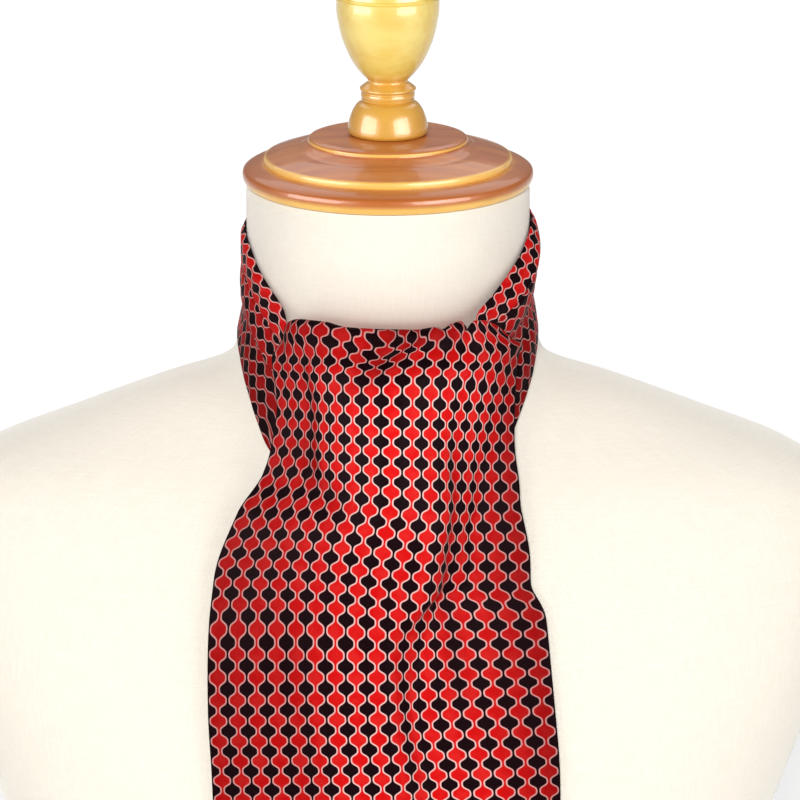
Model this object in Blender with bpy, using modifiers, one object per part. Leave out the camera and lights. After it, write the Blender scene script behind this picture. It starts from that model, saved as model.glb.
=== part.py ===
"""A silk cravat tied round the neck of a limbless dress form.

The cravat is one long strip of silk. Its middle is pleated into a narrow band round
the back of the neck, the two halves open out and cross at the throat, and the upper
half comes up behind the crossing and falls over it as the front blade.

Sizes are millimetres. A place on the form is given by its bearing (degrees round the
neck, 0 in front and 90 to +X) and its drop (down from the underside of the neck cap).
"""
import bisect
import math

import bmesh
import bpy

MM = 0.001

# Form and frame
CAP_UNDERSIDE = 440.0       # height of the neck cap's underside above the base
SEAT_GAP = 0.3              # between pieces that rest on each other
FORM_COLUMNS = 48
FORM_CROWDING = 0.2         # draws the form's columns towards the two shoulders
SHOULDER_BLEND = 12.0       # how softly the neck runs into the torso
TORSO_ROUNDNESS = 2.2       # 2 is an ellipse, more is squarer

# Silk strip
CLOTH_WALL = 1.4            # doubled silk
NECKBAND_WALL = 2.0         # the pleats stitched down on each other
STRIP_WIDTH = 150.0
HALF_STRIP = STRIP_WIDTH / 2
PLEATS = 3
PLEAT_DROP_SHARE = 0.22     # share of a pleat that steps back down
BAND_SEAM = 105.0           # bearing at which the pleated neckband ends on each side
SEAM_GAP = 0.3              # degrees, about 0.3 mm on the neck
BAND_COLUMNS = 12
BLADE_COLUMNS = 34
FRONT_TIP = 340.0           # drop of the front blade's point
UNDER_TIP = 318.0           # drop of the under blade's point
TUCK_BOTTOM = 84.0          # how far the front blade reaches down behind the crossing
INNER_LIFT = 1.0 + SEAT_GAP # middle of the innermost layer above the form


class Table:
    """Sizes at a few stations, read between them along a smooth curve."""

    def __init__(self, names, rows):
        self.station = [row[0] for row in rows]
        self.column = {
            name: [row[place] for row in rows]
            for place, name in enumerate(names.split()) if place
        }

    def slope(self, values, place):
        """Tangent at a station, flat wherever the values turn."""
        if place in (0, len(values) - 1):
            return 0.0
        before = ((values[place] - values[place - 1])
                  / (self.station[place] - self.station[place - 1]))
        after = ((values[place + 1] - values[place])
                 / (self.station[place + 1] - self.station[place]))
        if before * after <= 0:
            return 0.0
        return 2 * before * after / (before + after)

    def at(self, name, station):
        values = self.column[name]
        if station <= self.station[0]:
            return values[0]
        if station >= self.station[-1]:
            return values[-1]
        place = bisect.bisect_right(self.station, station) - 1
        step = self.station[place + 1] - self.station[place]
        t = (station - self.station[place]) / step
        rise = values[place + 1] - values[place]
        start = self.slope(values, place) * step
        end = self.slope(values, place + 1) * step
        return (values[place] + t * start + t * t * (3 * rise - 2 * start - end)
                + t ** 3 * (start + end - 2 * rise))


NECK = Table("drop front back", (
    (0, 61.2, 61.2),
    (3, 62, 62),
    (40, 62, 62),
    (60, 62, 66),
    (80, 64, 74),
    (100, 67.5, 83),
    (120, 72, 91),
    (140, 77.5, 97),
    (175, 87, 103),
    (205, 92, 103),
    (245, 88, 90),
    (290, 80, 80),
))

TORSO = Table("drop half_width front back", (
    (60, 40, 14, 20),
    (76, 60, 20, 30),
    (92, 106, 38, 52),
    (108, 147, 51, 69),
    (124, 186, 62.5, 83),
    (134, 199, 68, 90),
    (150, 207, 75, 97),
    (175, 208, 84, 104),
    (205, 203, 91, 108),
    (245, 191, 97, 108),
    (290, 176, 99, 103),
    (340, 163, 97, 96),
    (400, 156, 93, 91),
    (436, 155, 92, 90),
    (440, 152, 89, 87),
))

FORM_RINGS = (
    0.3, 3, 22, 42, 49, 56, 66, 74, 82, 90, 98, 106, 114, 122, 131, 142, 156, 175,
    205, 245, 290, 340, 400, 436, 440,
)

# Neck cap, radius and height above its underside, from the top down
CAP_PROFILE = (
    (0, 21.4), (20, 21.4), (33, 20.6), (34.8, 19.2), (34.7, 18.5), (37.4, 16.9),
    (44, 15.0), (50, 13.3), (53.4, 12.1), (54.1, 11.2), (54.0, 9.2), (58.5, 8.4),
    (61.5, 7.4), (63.1, 6.2), (63.5, 4.8), (63.2, 2.8), (61.8, 0.3), (61.3, 0), (0, 0),
)
CAP_STEPS = 44

# Finial, radius and height above the cap's underside, from the top down
FINIAL_PROFILE = (
    (0, 99), (8, 98), (14.5, 95.5), (19, 91.5), (21.5, 87), (22.3, 82.8), (21.4, 81.9),
    (22.3, 81), (22.2, 75), (21.4, 70.2), (20, 64.2), (18.2, 59.4), (15.6, 54),
    (12, 48.9), (9.2, 46), (8.7, 45), (10.2, 43.6), (12.0, 42.2), (12.1, 41.2),
    (11.2, 40.0), (11.6, 38.2), (10.8, 36.2), (13, 35.2), (14.8, 33), (16.2, 30),
    (17.1, 27), (17.5, 24.4), (17.3, 22.6), (16.4, 21.7), (0, 21.7),
)
FINIAL_STEPS = 30

# Neckband, from one seam round the back to the other
NECKBAND = Table("bearing top bottom", (
    (BAND_SEAM, 14.0, 57.5),
    (130, 13.5, 57.5),
    (180, 14.0, 58),
    (230, 15.5, 59.5),
    (360 - BAND_SEAM, 18.5, 62),
))
NECKBAND_ROWS = 26
NECKBAND_PLEAT = 1.3

# Bands: the top and bottom edges of the strip on its way to and past the crossing
BAND_LEFT = Table("stage top_bearing top_drop low_bearing low_drop lift pleat", (
    (0, -BAND_SEAM, 18.5, -BAND_SEAM, 62, 1.4, 1.3),
    (1, -90, 18.8, -90, 66, 1.4, 1.3),
    (2, -75, 22.5, -75, 73, 1.4, 1.2),
    (3, -63, 31.2, -63, 84, 1.4, 1.0),
    (4, -52, 39.0, -52, 96, 1.6, 0.6),
    (5, -44.5, 45.0, -45, 104, 2.4, 0.3),
    (6, -39.8, 53.4, -38, 110, 3.2, 0),
    (7, -30, 55.5, -30, 118, 3.4, 0),
    (8, -12, 60, -22, 127, 3.4, 0),
    (9, 8, 68, -18, 135, 3.4, 0),
    (10, 22, 80, -17, 142, 3.4, 0),
    (11, 30, 96, -18, 150, 2.6, 0),
    (12, 33, 114, -21, 158, 2.0, 0),
))
BAND_RIGHT = Table("stage top_bearing top_drop low_bearing low_drop lift pleat", (
    (0, BAND_SEAM, 14.0, BAND_SEAM, 57.5, 1.4, 1.3),
    (1, 90, 14.8, 90, 63, 1.4, 1.3),
    (2, 76, 19.8, 76, 71, 1.4, 1.3),
    (3, 64, 26.2, 64, 82, 1.7, 1.1),
    (4, 52, 33.0, 52, 94, 2.5, 0.6),
    (5, 42, 39.2, 43, 104, 4.0, 0.2),
    (6, 35, 44.2, 37, 110, 5.4, 0),
    (7, 30.8, 54.0, 30, 116, 6.0, 0),
    (8, 15, 58.5, 18, 125, 6.0, 0),
    (9, -6, 65, 5, 131, 6.0, 0),
    (10, -24, 76, -6, 136, 6.0, 0),
    (11, -34, 94, -14, 139, 6.0, 0),
))
# How far the upper part of a band stands off the neck, besides its lift
BAND_FLARE = {
    "band_left": Table("stage height", ((0, 0), (3, 0.6), (5, 1.0), (6, 0), (12, 0))),
    "band_right": Table("stage height", (
        (0, 0.6), (1, 1.6), (2, 3.6), (3, 5.2), (4, 5.0), (5, 2.4), (6, 0.2), (7, 0), (11, 0),
    )),
}
FLARE_RISE = 0.18           # shares of the band's width over which it rises and is gone
FLARE_END = 0.55
ROWS_PER_STAGE = 2

# Under blade: its left and right edges below the crossing, then the pointed end
UNDER_BLADE = Table("stage left_bearing left_drop right_bearing right_drop lift", (
    (0, -21.3, 158.6, 33.3, 114.6, 2.0),
    (1, -30, 176, 37, 142, 2.0),
    (2, -36, 198, 38.5, 176, 2.0),
    (3, -38, 222, 38.5, 212, 2.0),
    (4, -38, 252, 38, 250, 2.0),
))
UNDER_COLUMNS = 12
POINT_ROWS = 4

# Top edge of the front blade, where it rolls over the crossing, at places across it
ROLL = Table("across bearing top", (
    (-75, -39.2, 49.4),
    (-53, -34.5, 47.4),
    (-35, -25.5, 46.9),
    (-26, -15.9, 48.4),
    (-9, 1.5, 48.7),
    (9, 12.4, 49.2),
    (18, 17.8, 48.4),
    (26, 24.7, 50.2),
    (35, 27.4, 48.2),
    (53, 29.2, 48.0),
    (75, 30.2, 49.4),
))
ROLL_STEPS = 6
ROLL_JOIN = 9.0             # drop over which the roll eases into the hanging blade

# Height above the form at which the front blade clears the bands, round the bearings
COVER = Table("bearing lift", (
    (-60, 3.4),
    (-48, 4.4),
    (-41, 5.8),
    (-36, 8.2),
    (36, 8.2),
    (46, 8.0),
    (54, 7.1),
    (62, 5.4),
))
LOWER_COVER = 4.0           # the same below the crossing, over the under blade
COVER_CHANGE = (128.0, 160.0)

# Front blade: the crown's place, the gathering, and the angle at which the cloth
# falls back, at steps across the left and right halves
FALL_STEPS = (0, 15, 30, 45, 60, 75)
BLADE = Table("drop crown middle left_gather right_gather"
              " l0 l1 l2 l3 l4 l5 r0 r1 r2 r3 r4 r5", (
    (50, 70.5, 2.6, 0.64, 0.84, 0, 9, 20, 31, 41, 50, 0, 9, 20, 31, 41, 50),
    (58, 76.5, 2.6, 0.67, 0.87, 4, 12, 28, 42, 46, 46, 3, 12, 26, 41, 53, 76),
    (66, 83.0, 1.9, 0.72, 0.85, 12, 20, 32, 44, 46, 46, 4, 18, 35, 43, 53, 76),
    (86, 93.5, 1.7, 0.72, 0.86, 22, 30, 40, 46, 44, 42, 14, 32, 44, 46, 52, 62),
    (112, 101, 1.6, 0.80, 0.88, 24, 30, 36, 38, 36, 34, 20, 26, 50, 60, 50, 34),
    (128, 103.5, -0.9, 0.90, 0.92, 16, 15, 26, 32, 32, 28, 12, 8, 52, 64, 36, 20),
    (155, 105.5, -4.0, 1, 1, 10, 12, 20, 26, 26, 22, 6, 10, 46, 42, 18, 14),
    (180, 107, -4.6, 1, 1, 8, 10, 15, 19, 20, 17, 4, 14, 36, 28, 13, 12),
    (210, 108.0, -4.0, 1, 1, 6, 8, 12, 15, 16, 14, 4, 18, 26, 18, 11, 11),
    (240, 108.4, -2.2, 1, 1, 5, 7, 10, 13, 13, 12, 6, 16, 18, 13, 10, 10),
    (290, 107.6, -0.6, 1, 1, 4, 6, 9, 12, 12, 11, 5, 9, 12, 11, 10, 10),
    (340, 105.6, 0, 1, 1, 3, 5, 8, 11, 11, 10, 3, 6, 9, 10, 10, 10),
))
GATHER_START = 15.0         # distance from the crown at which the gathering sets in
GATHER_REACH = 25.0
FALL_SLICES = 30            # slices in which each half is laid out
HANG_ROWS = 24
HEM_START = 190.0           # drop from which the rows bend towards the pointed hem

# Largest folds in the front blade: troughs below zero depth, ridges above
FOLDS = (
    {"start": (11, 50), "end": (-11, 67), "depth": -4.0, "width": 4.0},
    {"start": (16, 57), "end": (2, 76), "depth": 1.6, "width": 5.5},
    {"start": (-50, 66), "end": (-46, 112), "depth": -2.6, "width": 6.0},
    {"start": (34, 92), "end": (40, 205), "depth": -2.4, "width": 6.0},
    {"start": (-62, 96), "end": (-22, 122), "depth": -1.8, "width": 6.0},
    {"start": (20, 130), "end": (12, 260), "depth": 1.6, "width": 8.0},
    {"start": (-40, 170), "end": (-30, 290), "depth": -1.6, "width": 8.0},
)


def mix(a, b, t):
    return a + (b - a) * t


def smooth(t):
    """Ease from 0 to 1."""
    t = min(1.0, max(0.0, t))
    return t * t * (3 - 2 * t)


def soft_max(a, b, blend):
    """The larger of two sizes, rounded over where they are near each other."""
    share = min(1.0, max(0.0, 0.5 + 0.5 * (a - b) / blend))
    return mix(b, a, share) + blend * share * (1 - share)


def form_radius(bearing, drop):
    """Distance from the neck's axis to the form's cover."""
    side = abs(math.sin(math.radians(bearing)))
    ahead = math.cos(math.radians(bearing))
    neck = mix(NECK.at("front", drop), NECK.at("back", drop), (1 - ahead) / 2)
    depth = TORSO.at("front" if ahead > 0 else "back", drop)
    torso = ((side / TORSO.at("half_width", drop)) ** TORSO_ROUNDNESS
             + (abs(ahead) / depth) ** TORSO_ROUNDNESS) ** (-1 / TORSO_ROUNDNESS)
    return soft_max(neck, torso, SHOULDER_BLEND)


def place(x, y, drop):
    """A point in the part's frame, in metres."""
    return (x * MM, y * MM, (CAP_UNDERSIDE - drop) * MM)


def round_neck(bearing, drop, radius):
    """The point at a bearing, a drop and a distance from the neck's axis."""
    angle = math.radians(bearing)
    return place(radius * math.sin(angle), -radius * math.cos(angle), drop)


def on_form(bearing, drop, lift):
    """The point that lies a given height above the form."""
    return round_neck(bearing, drop, form_radius(bearing, drop) + lift)


def pleated(across, depth):
    """Height of the knife pleats at a place from the top edge (0) to the bottom (1)."""
    turn = (across * PLEATS) % 1.0
    if across >= 1.0:
        turn = 1.0
    rise = turn / (1 - PLEAT_DROP_SHARE)
    fall = (1 - turn) / PLEAT_DROP_SHARE
    return depth * smooth(min(rise, fall))


def steps(count):
    """Places from 0 to 1 in equal steps."""
    return [number / count for number in range(count + 1)]


def make_material(name, colour, roughness):
    material = bpy.data.materials.new(name)
    material.use_nodes = True
    shader = material.node_tree.nodes["Principled BSDF"]
    shader.inputs["Base Color"].default_value = (*colour, 1)
    shader.inputs["Roughness"].default_value = roughness
    shader.inputs["Metallic"].default_value = 0
    return material


def add_object(name, mesh, collection, material):
    mesh.materials.append(material)
    mesh.shade_smooth()
    made = bpy.data.objects.new(name, mesh)
    collection.objects.link(made)
    return made


def add_grid(bm, rows, closed=False):
    """Faces between rows of points, each row as long as the next."""
    lines = [[bm.verts.new(point) for point in row] for row in rows]
    for upper, lower in zip(lines, lines[1:]):
        spans = list(zip(upper, upper[1:], lower[1:], lower))
        if closed:
            spans.append((upper[-1], upper[0], lower[0], lower[-1]))
        for corners in spans:
            bm.faces.new(corners)
    return lines


def add_cloth(name, rows, wall, collection, material):
    """A wall of cloth whose middle passes through rows of points."""
    bm = bmesh.new()
    add_grid(bm, rows)
    mesh = bpy.data.meshes.new(name)
    bm.to_mesh(mesh)
    bm.free()
    made = add_object(name, mesh, collection, material)
    thickness = made.modifiers.new("Wall", "SOLIDIFY")
    thickness.thickness = wall * MM
    thickness.offset = 0
    return made


def add_turned(name, profile, step_count, collection, material):
    """A turned piece from its profile, listed from the top down."""
    bm = bmesh.new()
    points = [bm.verts.new(place(radius, 0, -height)) for radius, height in profile]
    for upper, lower in zip(points, points[1:]):
        bm.edges.new((upper, lower))
    mesh = bpy.data.meshes.new(name)
    bm.to_mesh(mesh)
    bm.free()
    made = add_object(name, mesh, collection, material)
    turning = made.modifiers.new("Turning", "SCREW")
    turning.steps = step_count
    turning.render_steps = step_count
    turning.use_merge_vertices = True
    turning.merge_threshold = 0.00001
    turning.use_smooth_shade = True
    return made


def build_form(collection):
    """The dress form's neck and torso, flat on top and underneath."""
    cover = make_material("Form cover", (0.86, 0.82, 0.74), 0.9)
    turns = [2 * math.pi * number / FORM_COLUMNS for number in range(FORM_COLUMNS)]
    bearings = [math.degrees(turn + FORM_CROWDING * math.sin(2 * turn))
                for turn in turns]
    bm = bmesh.new()
    lines = add_grid(
        bm,
        [[on_form(bearing, drop, 0) for bearing in bearings] for drop in FORM_RINGS],
        closed=True,
    )
    bm.faces.new(lines[0])
    bm.faces.new(reversed(lines[-1]))
    bmesh.ops.recalc_face_normals(bm, faces=bm.faces)
    mesh = bpy.data.meshes.new("form_body")
    bm.to_mesh(mesh)
    bm.free()
    add_object("form_body", mesh, collection, cover)


def build_turned_wood(collection):
    """The neck cap and the finial that stands on it."""
    wood = make_material("Neck cap wood", (0.62, 0.27, 0.06), 0.25)
    pale_wood = make_material("Finial wood", (0.72, 0.36, 0.08), 0.25)
    add_turned("neck_cap", CAP_PROFILE, CAP_STEPS, collection, wood)
    add_turned("finial", FINIAL_PROFILE, FINIAL_STEPS, collection, pale_wood)


def build_neckband(collection, silk):
    """The pleated middle of the strip, round the back of the neck."""
    rows = []
    start = BAND_SEAM + SEAM_GAP / 2
    end = 360 - BAND_SEAM - SEAM_GAP / 2
    for along in steps(NECKBAND_ROWS):
        bearing = mix(start, end, along)
        row = []
        for across in steps(BAND_COLUMNS):
            drop = mix(NECKBAND.at("top", bearing), NECKBAND.at("bottom", bearing), across)
            lift = SEAT_GAP + NECKBAND_WALL / 2 + pleated(across, NECKBAND_PLEAT)
            row.append(on_form(bearing, drop, lift))
        rows.append(row)
    add_cloth("neckband", rows, NECKBAND_WALL, collection, silk)


def build_band(name, table, collection, silk):
    """Half of the strip from the neckband to the crossing, its pleats opening out."""
    rows = []
    last = table.station[-1]
    for along in steps(last * ROWS_PER_STAGE):
        stage = along * last
        inset = math.copysign(SEAM_GAP / 2, table.at("top_bearing", 0)) * (1 - smooth(stage))
        row = []
        for across in steps(BAND_COLUMNS):
            bearing = mix(table.at("top_bearing", stage),
                          table.at("low_bearing", stage), across)
            drop = mix(table.at("top_drop", stage), table.at("low_drop", stage), across)
            flare = smooth(across / FLARE_RISE) * smooth((FLARE_END - across) / 0.4)
            lift = (table.at("lift", stage) + pleated(across, table.at("pleat", stage))
                    + BAND_FLARE[name].at("height", stage) * flare)
            row.append(on_form(bearing - inset, drop, lift))
        rows.append(row)
    add_cloth(name, rows, CLOTH_WALL, collection, silk)


def build_under_blade(collection, silk):
    """The lower end of the strip, hanging flat on the chest behind the front blade."""
    rows = []
    last = UNDER_BLADE.station[-1]
    for along in steps(last * ROWS_PER_STAGE):
        stage = along * last
        rows.append([(
            mix(UNDER_BLADE.at("left_bearing", stage),
                UNDER_BLADE.at("right_bearing", stage), across),
            mix(UNDER_BLADE.at("left_drop", stage),
                UNDER_BLADE.at("right_drop", stage), across),
        ) for across in steps(UNDER_COLUMNS)])
    square_end = rows[-1]
    for along in steps(POINT_ROWS)[1:]:
        rows.append([(
            bearing,
            mix(drop, mix(UNDER_TIP, drop, abs(2 * across - 1)), along),
        ) for (bearing, drop), across in zip(square_end, steps(UNDER_COLUMNS))])
    lift = UNDER_BLADE.at("lift", 0)
    points = [[on_form(bearing, drop, lift) for bearing, drop in row] for row in rows]
    add_cloth("under_blade", points, CLOTH_WALL, collection, silk)


def fall_angle(drop, side, across):
    """How far the cloth turns back, in radians, at a distance from the crown."""
    last = len(FALL_STEPS) - 2
    step = min(last, bisect.bisect_right(FALL_STEPS, across) - 1)
    t = (across - FALL_STEPS[step]) / (FALL_STEPS[step + 1] - FALL_STEPS[step])
    before = BLADE.at(f"{side}{step}", drop)
    after = BLADE.at(f"{side}{step + 1}", drop)
    return math.radians(mix(before, after, smooth(t)))


def fold_height(across, drop):
    """Height of the largest folds above the plain blade."""
    height = 0.0
    for fold in FOLDS:
        start_across, start_drop = fold["start"]
        end_across, end_drop = fold["end"]
        run_across = end_across - start_across
        run_drop = end_drop - start_drop
        length = math.hypot(run_across, run_drop)
        along = ((across - start_across) * run_across
                 + (drop - start_drop) * run_drop) / length ** 2
        aside = ((across - start_across) * run_drop
                 - (drop - start_drop) * run_across) / length
        reach = smooth((along + 0.15) / 0.3) * smooth((1.2 - along) / 0.4)
        height += fold["depth"] * reach * math.exp(-(aside / fold["width"]) ** 2)
    return height


def hang(across, drop):
    """The plain blade's x and y at a place across the cloth and a drop."""
    side = "l" if across < 0 else "r"
    gather = BLADE.at("left_gather" if across < 0 else "right_gather", drop)
    slice_width = abs(across) / FALL_SLICES
    run = 0.0
    back = 0.0
    for number in range(FALL_SLICES):
        out = (number + 0.5) * slice_width
        angle = fall_angle(drop, side, out)
        step = slice_width * mix(1, gather, smooth((out - GATHER_START) / GATHER_REACH))
        run += step * math.cos(angle)
        back += step * math.sin(angle)
    x = BLADE.at("middle", drop) + math.copysign(run, across)
    return x, back - BLADE.at("crown", drop)


def cover_lift(bearing, drop):
    """Least height of the front blade's middle above the form."""
    start, end = COVER_CHANGE
    return mix(COVER.at("lift", bearing), LOWER_COVER, smooth((drop - start) / (end - start)))


def blade_point(across, drop):
    """A point of the hanging front blade, kept clear of what lies under it."""
    x, y = hang(across, drop)
    fold = fold_height(across, drop)
    roll_bearing = ROLL.at("bearing", across)
    roll_radius = form_radius(roll_bearing, drop) + cover_lift(roll_bearing, drop)
    angle = math.radians(roll_bearing)
    share = smooth((drop - roll_bottom(across)) / ROLL_JOIN)
    x = mix(roll_radius * math.sin(angle), x, share)
    y = mix(-roll_radius * math.cos(angle), y, share)
    bearing = math.degrees(math.atan2(x, -y))
    radius = math.hypot(x, y) + fold * share
    least = form_radius(bearing, drop) + cover_lift(bearing, drop)
    return round_neck(bearing, drop, soft_max(radius, least, 1.5))


def roll_size(across):
    """Radius of the roll at the blade's top edge."""
    bearing = ROLL.at("bearing", across)
    return (COVER.at("lift", bearing) - INNER_LIFT) / 2


def roll_bottom(across):
    """Drop at which the roll ends and the blade hangs."""
    return ROLL.at("top", across) + roll_size(across)


def build_front_blade(collection, silk):
    """Up behind the crossing, over its top edge, and down in front to a point."""
    places = [mix(-HALF_STRIP, HALF_STRIP, across) for across in steps(BLADE_COLUMNS)]
    rows = []
    for along in steps(4)[:-1]:
        rows.append([
            on_form(ROLL.at("bearing", across),
                    mix(TUCK_BOTTOM, roll_bottom(across), along), INNER_LIFT)
            for across in places
        ])
    for turn in steps(ROLL_STEPS)[:-1]:
        row = []
        for across in places:
            bearing = ROLL.at("bearing", across)
            size = roll_size(across)
            drop = roll_bottom(across) - size * math.sin(math.pi * turn)
            lift = INNER_LIFT + size * (1 - math.cos(math.pi * turn))
            radius = form_radius(bearing, roll_bottom(across)) + lift
            row.append(round_neck(bearing, drop, radius))
        rows.append(row)
    for along in steps(HANG_ROWS):
        row = []
        for across in places:
            top = roll_bottom(across)
            hem = FRONT_TIP - abs(across)
            level = mix(top, FRONT_TIP, along ** 1.25)
            pointed = mix(top, hem, along ** 1.25)
            share = smooth((level - HEM_START) / (FRONT_TIP - HEM_START))
            row.append(blade_point(across, mix(level, pointed, share)))
        rows.append(row)
    add_cloth("front_blade", rows, CLOTH_WALL, collection, silk)


def main():
    for old in list(bpy.data.objects):
        bpy.data.objects.remove(old, do_unlink=True)
    collection = bpy.data.collections.new("Silk cravat on a dress form")
    bpy.context.scene.collection.children.link(collection)
    silk = make_material("Printed silk", (0.55, 0.02, 0.03), 0.35)
    build_form(collection)
    build_turned_wood(collection)
    build_neckband(collection, silk)
    build_band("band_left", BAND_LEFT, collection, silk)
    build_band("band_right", BAND_RIGHT, collection, silk)
    build_under_blade(collection, silk)
    build_front_blade(collection, silk)


main()
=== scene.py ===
"""Dresses the silk cravat and the dress form that it is tied on.

The shapes repeat the part's own sizes, in millimetres: a place on the form is given by
its bearing (degrees round the neck, 0 in front and 90 to +X) and its drop (down from
the underside of the neck cap). Cloth is laid out by distance across the strip of silk
and distance along it, and the print follows those two.
"""

import math

import bmesh
import bpy
import numpy as np
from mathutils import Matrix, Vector


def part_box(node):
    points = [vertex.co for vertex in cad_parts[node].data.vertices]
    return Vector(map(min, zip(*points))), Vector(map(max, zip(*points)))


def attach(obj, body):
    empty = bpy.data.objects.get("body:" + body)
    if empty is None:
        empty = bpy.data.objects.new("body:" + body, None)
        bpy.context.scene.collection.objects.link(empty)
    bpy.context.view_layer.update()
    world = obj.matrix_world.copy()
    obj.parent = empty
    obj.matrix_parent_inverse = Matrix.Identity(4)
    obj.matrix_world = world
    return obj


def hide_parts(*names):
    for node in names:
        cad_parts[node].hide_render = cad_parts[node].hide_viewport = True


bl_info = {
    "name": "Silk cravat on a dress form",
    "version": (1, 0, 0),
    "blender": (4, 5, 0),
    "location": "3D View > Sidebar > Cravat",
    "description": "Makes a printed silk cravat tied on a limbless dress form",
    "category": "Object",
}

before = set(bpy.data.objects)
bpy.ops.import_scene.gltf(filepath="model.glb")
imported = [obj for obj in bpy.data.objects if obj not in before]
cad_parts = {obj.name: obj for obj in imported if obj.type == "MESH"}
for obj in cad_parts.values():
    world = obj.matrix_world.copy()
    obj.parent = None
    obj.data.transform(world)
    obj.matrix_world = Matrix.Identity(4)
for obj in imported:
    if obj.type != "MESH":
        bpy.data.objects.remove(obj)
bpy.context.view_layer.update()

MM = 0.001
CAP_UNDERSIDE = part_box("neck_cap")[0].z / MM
ROOT = "root"
UV_NAME = "Cloth"
SHADE_NAME = "Shade"

# The form's cover: how neck and shoulders run into each other, and the grid it is made of
SHOULDER_BLEND = 12.0
TORSO_ROUNDNESS = 2.2
FORM_COLUMNS = 144
FORM_CROWDING = 0.2         # how much closer the columns stand at the shoulders
FORM_RING_STEP = 3.0
NECK_RING_STEP = 1.5
NECK_RINGS_END = 60.0
TOP_RINGS = (0.3, 1.0, 2.0, 3.0)
BASE_RINGS = (4.0, 2.5, 1.0, 0.0)   # heights above the base
FORM_EDGE = 50.0            # degrees from which an edge of the cover is sharp
LINEN_PER_DEGREE = 1.4      # millimetres of linen to a degree of bearing

# The pleats of the bands and the neckband
BAND_SEAM = 105.0           # bearing of the seams between the neckband and the bands
SEAM_GAP = 0.3              # width of a seam, in degrees of bearing
BAND_ROWS = 170             # rows of points along a band or the neckband
LAYER = 0.7                 # height from one layer of a knife pleat to the next
PLEAT_WALL = 0.5
UNDERLAY = 8.8              # how far a pleat's cloth goes back up behind its lip
UNDERLAY_SHARE = 0.62       # at most this share of the pleat above it
UNDERLAY_STEPS = (0, 0.3, 0.7, 1)
TURN_STEPS = (0.25, 0.5, 0.75)
PLEAT_EASE = 0.25           # share of a pleat over which it rises to its full height
PLEAT_POINTS = 17           # points down the front of a pleat
PLEAT_COLUMNS = PLEAT_POINTS + 2 * len(TURN_STEPS) + 2 * len(UNDERLAY_STEPS) - 1
LAST_POINTS = 25            # points from the lower pleat down to the band's edge
LAST_RISE = 0.6             # in layers
LAST_EASE = 0.6
INNER_LAYER = 0.4           # how far the inmost layer lies below a band's lift
NECKBAND_LIFT = 0.8
FLARE_RISE = 0.18
FLARE_END = 0.55
FLARE_FADE = 0.4

# The two ends of the strip, with the tuck up behind the crossing
HALF_STRIP = 75.0
FRONT_TIP = 340.0
UNDER_TIP = 318.0
TUCK_BOTTOM = 84.0
INNER_LIFT = 1.3
BLADE_COLUMNS = 171
TUCK_ROWS = 14
ROLL_ROWS = 17
HANGING_ROWS = 176
HANGING_CROWDING = 1.05     # above 1, the hanging rows are closer at the throat
UNDER_COLUMNS = 61
UNDER_ROWS = 60
UNDER_POINT_ROWS = 30


class Table:
    """Sizes at a few stations, read between them along a smooth curve."""

    def __init__(self, names, rows):
        data = np.array(rows, float)
        self.station = data[:, 0]
        self.column = {
            name: data[:, place] for place, name in enumerate(names.split())
        }

    def slopes(self, values):
        """Tangents at the stations, flat wherever the values turn."""
        steps = np.diff(values) / np.diff(self.station)
        before, after = steps[:-1], steps[1:]
        product = before * after
        total = np.where(product > 0, before + after, 1)
        inner = np.where(product > 0, 2 * product / total, 0)
        return np.concatenate(([0], inner, [0]))

    def at(self, name, station):
        values = self.column[name]
        station = np.clip(station, self.station[0], self.station[-1])
        place = np.searchsorted(self.station, station, side="right") - 1
        place = np.clip(place, 0, len(values) - 2)
        step = self.station[place + 1] - self.station[place]
        t = (station - self.station[place]) / step
        slopes = self.slopes(values)
        start = slopes[place] * step
        end = slopes[place + 1] * step
        rise = values[place + 1] - values[place]
        return (values[place] + t * start + t * t * (3 * rise - 2 * start - end)
                + t ** 3 * (start + end - 2 * rise))


# The neck's radius in front and behind
NECK = Table("drop front back", (
    (0, 61.2, 61.2),
    (3, 62, 62),
    (40, 62, 62),
    (60, 62, 66),
    (80, 64, 74),
    (100, 67.5, 83),
    (120, 72, 91),
    (140, 77.5, 97),
    (175, 87, 103),
    (205, 92, 103),
    (245, 88, 90),
    (290, 80, 80),
))

# The torso's half width, and its depth in front of and behind the neck's axis
TORSO = Table("drop half_width front back", (
    (60, 40, 14, 20),
    (76, 60, 20, 30),
    (92, 106, 38, 52),
    (108, 147, 51, 69),
    (124, 186, 62.5, 83),
    (134, 199, 68, 90),
    (150, 207, 75, 97),
    (175, 208, 84, 104),
    (205, 203, 91, 108),
    (245, 191, 97, 108),
    (290, 176, 99, 103),
    (340, 163, 97, 96),
    (400, 156, 93, 91),
    (436, 155, 92, 90),
    (440, 152, 89, 87),
))

# The drops of the neckband's upper and lower edge
NECKBAND = Table("bearing top bottom", (
    (BAND_SEAM, 14.0, 57.5),
    (130, 13.5, 57.5),
    (180, 14.0, 58),
    (230, 15.5, 59.5),
    (360 - BAND_SEAM, 18.5, 62),
))

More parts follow.
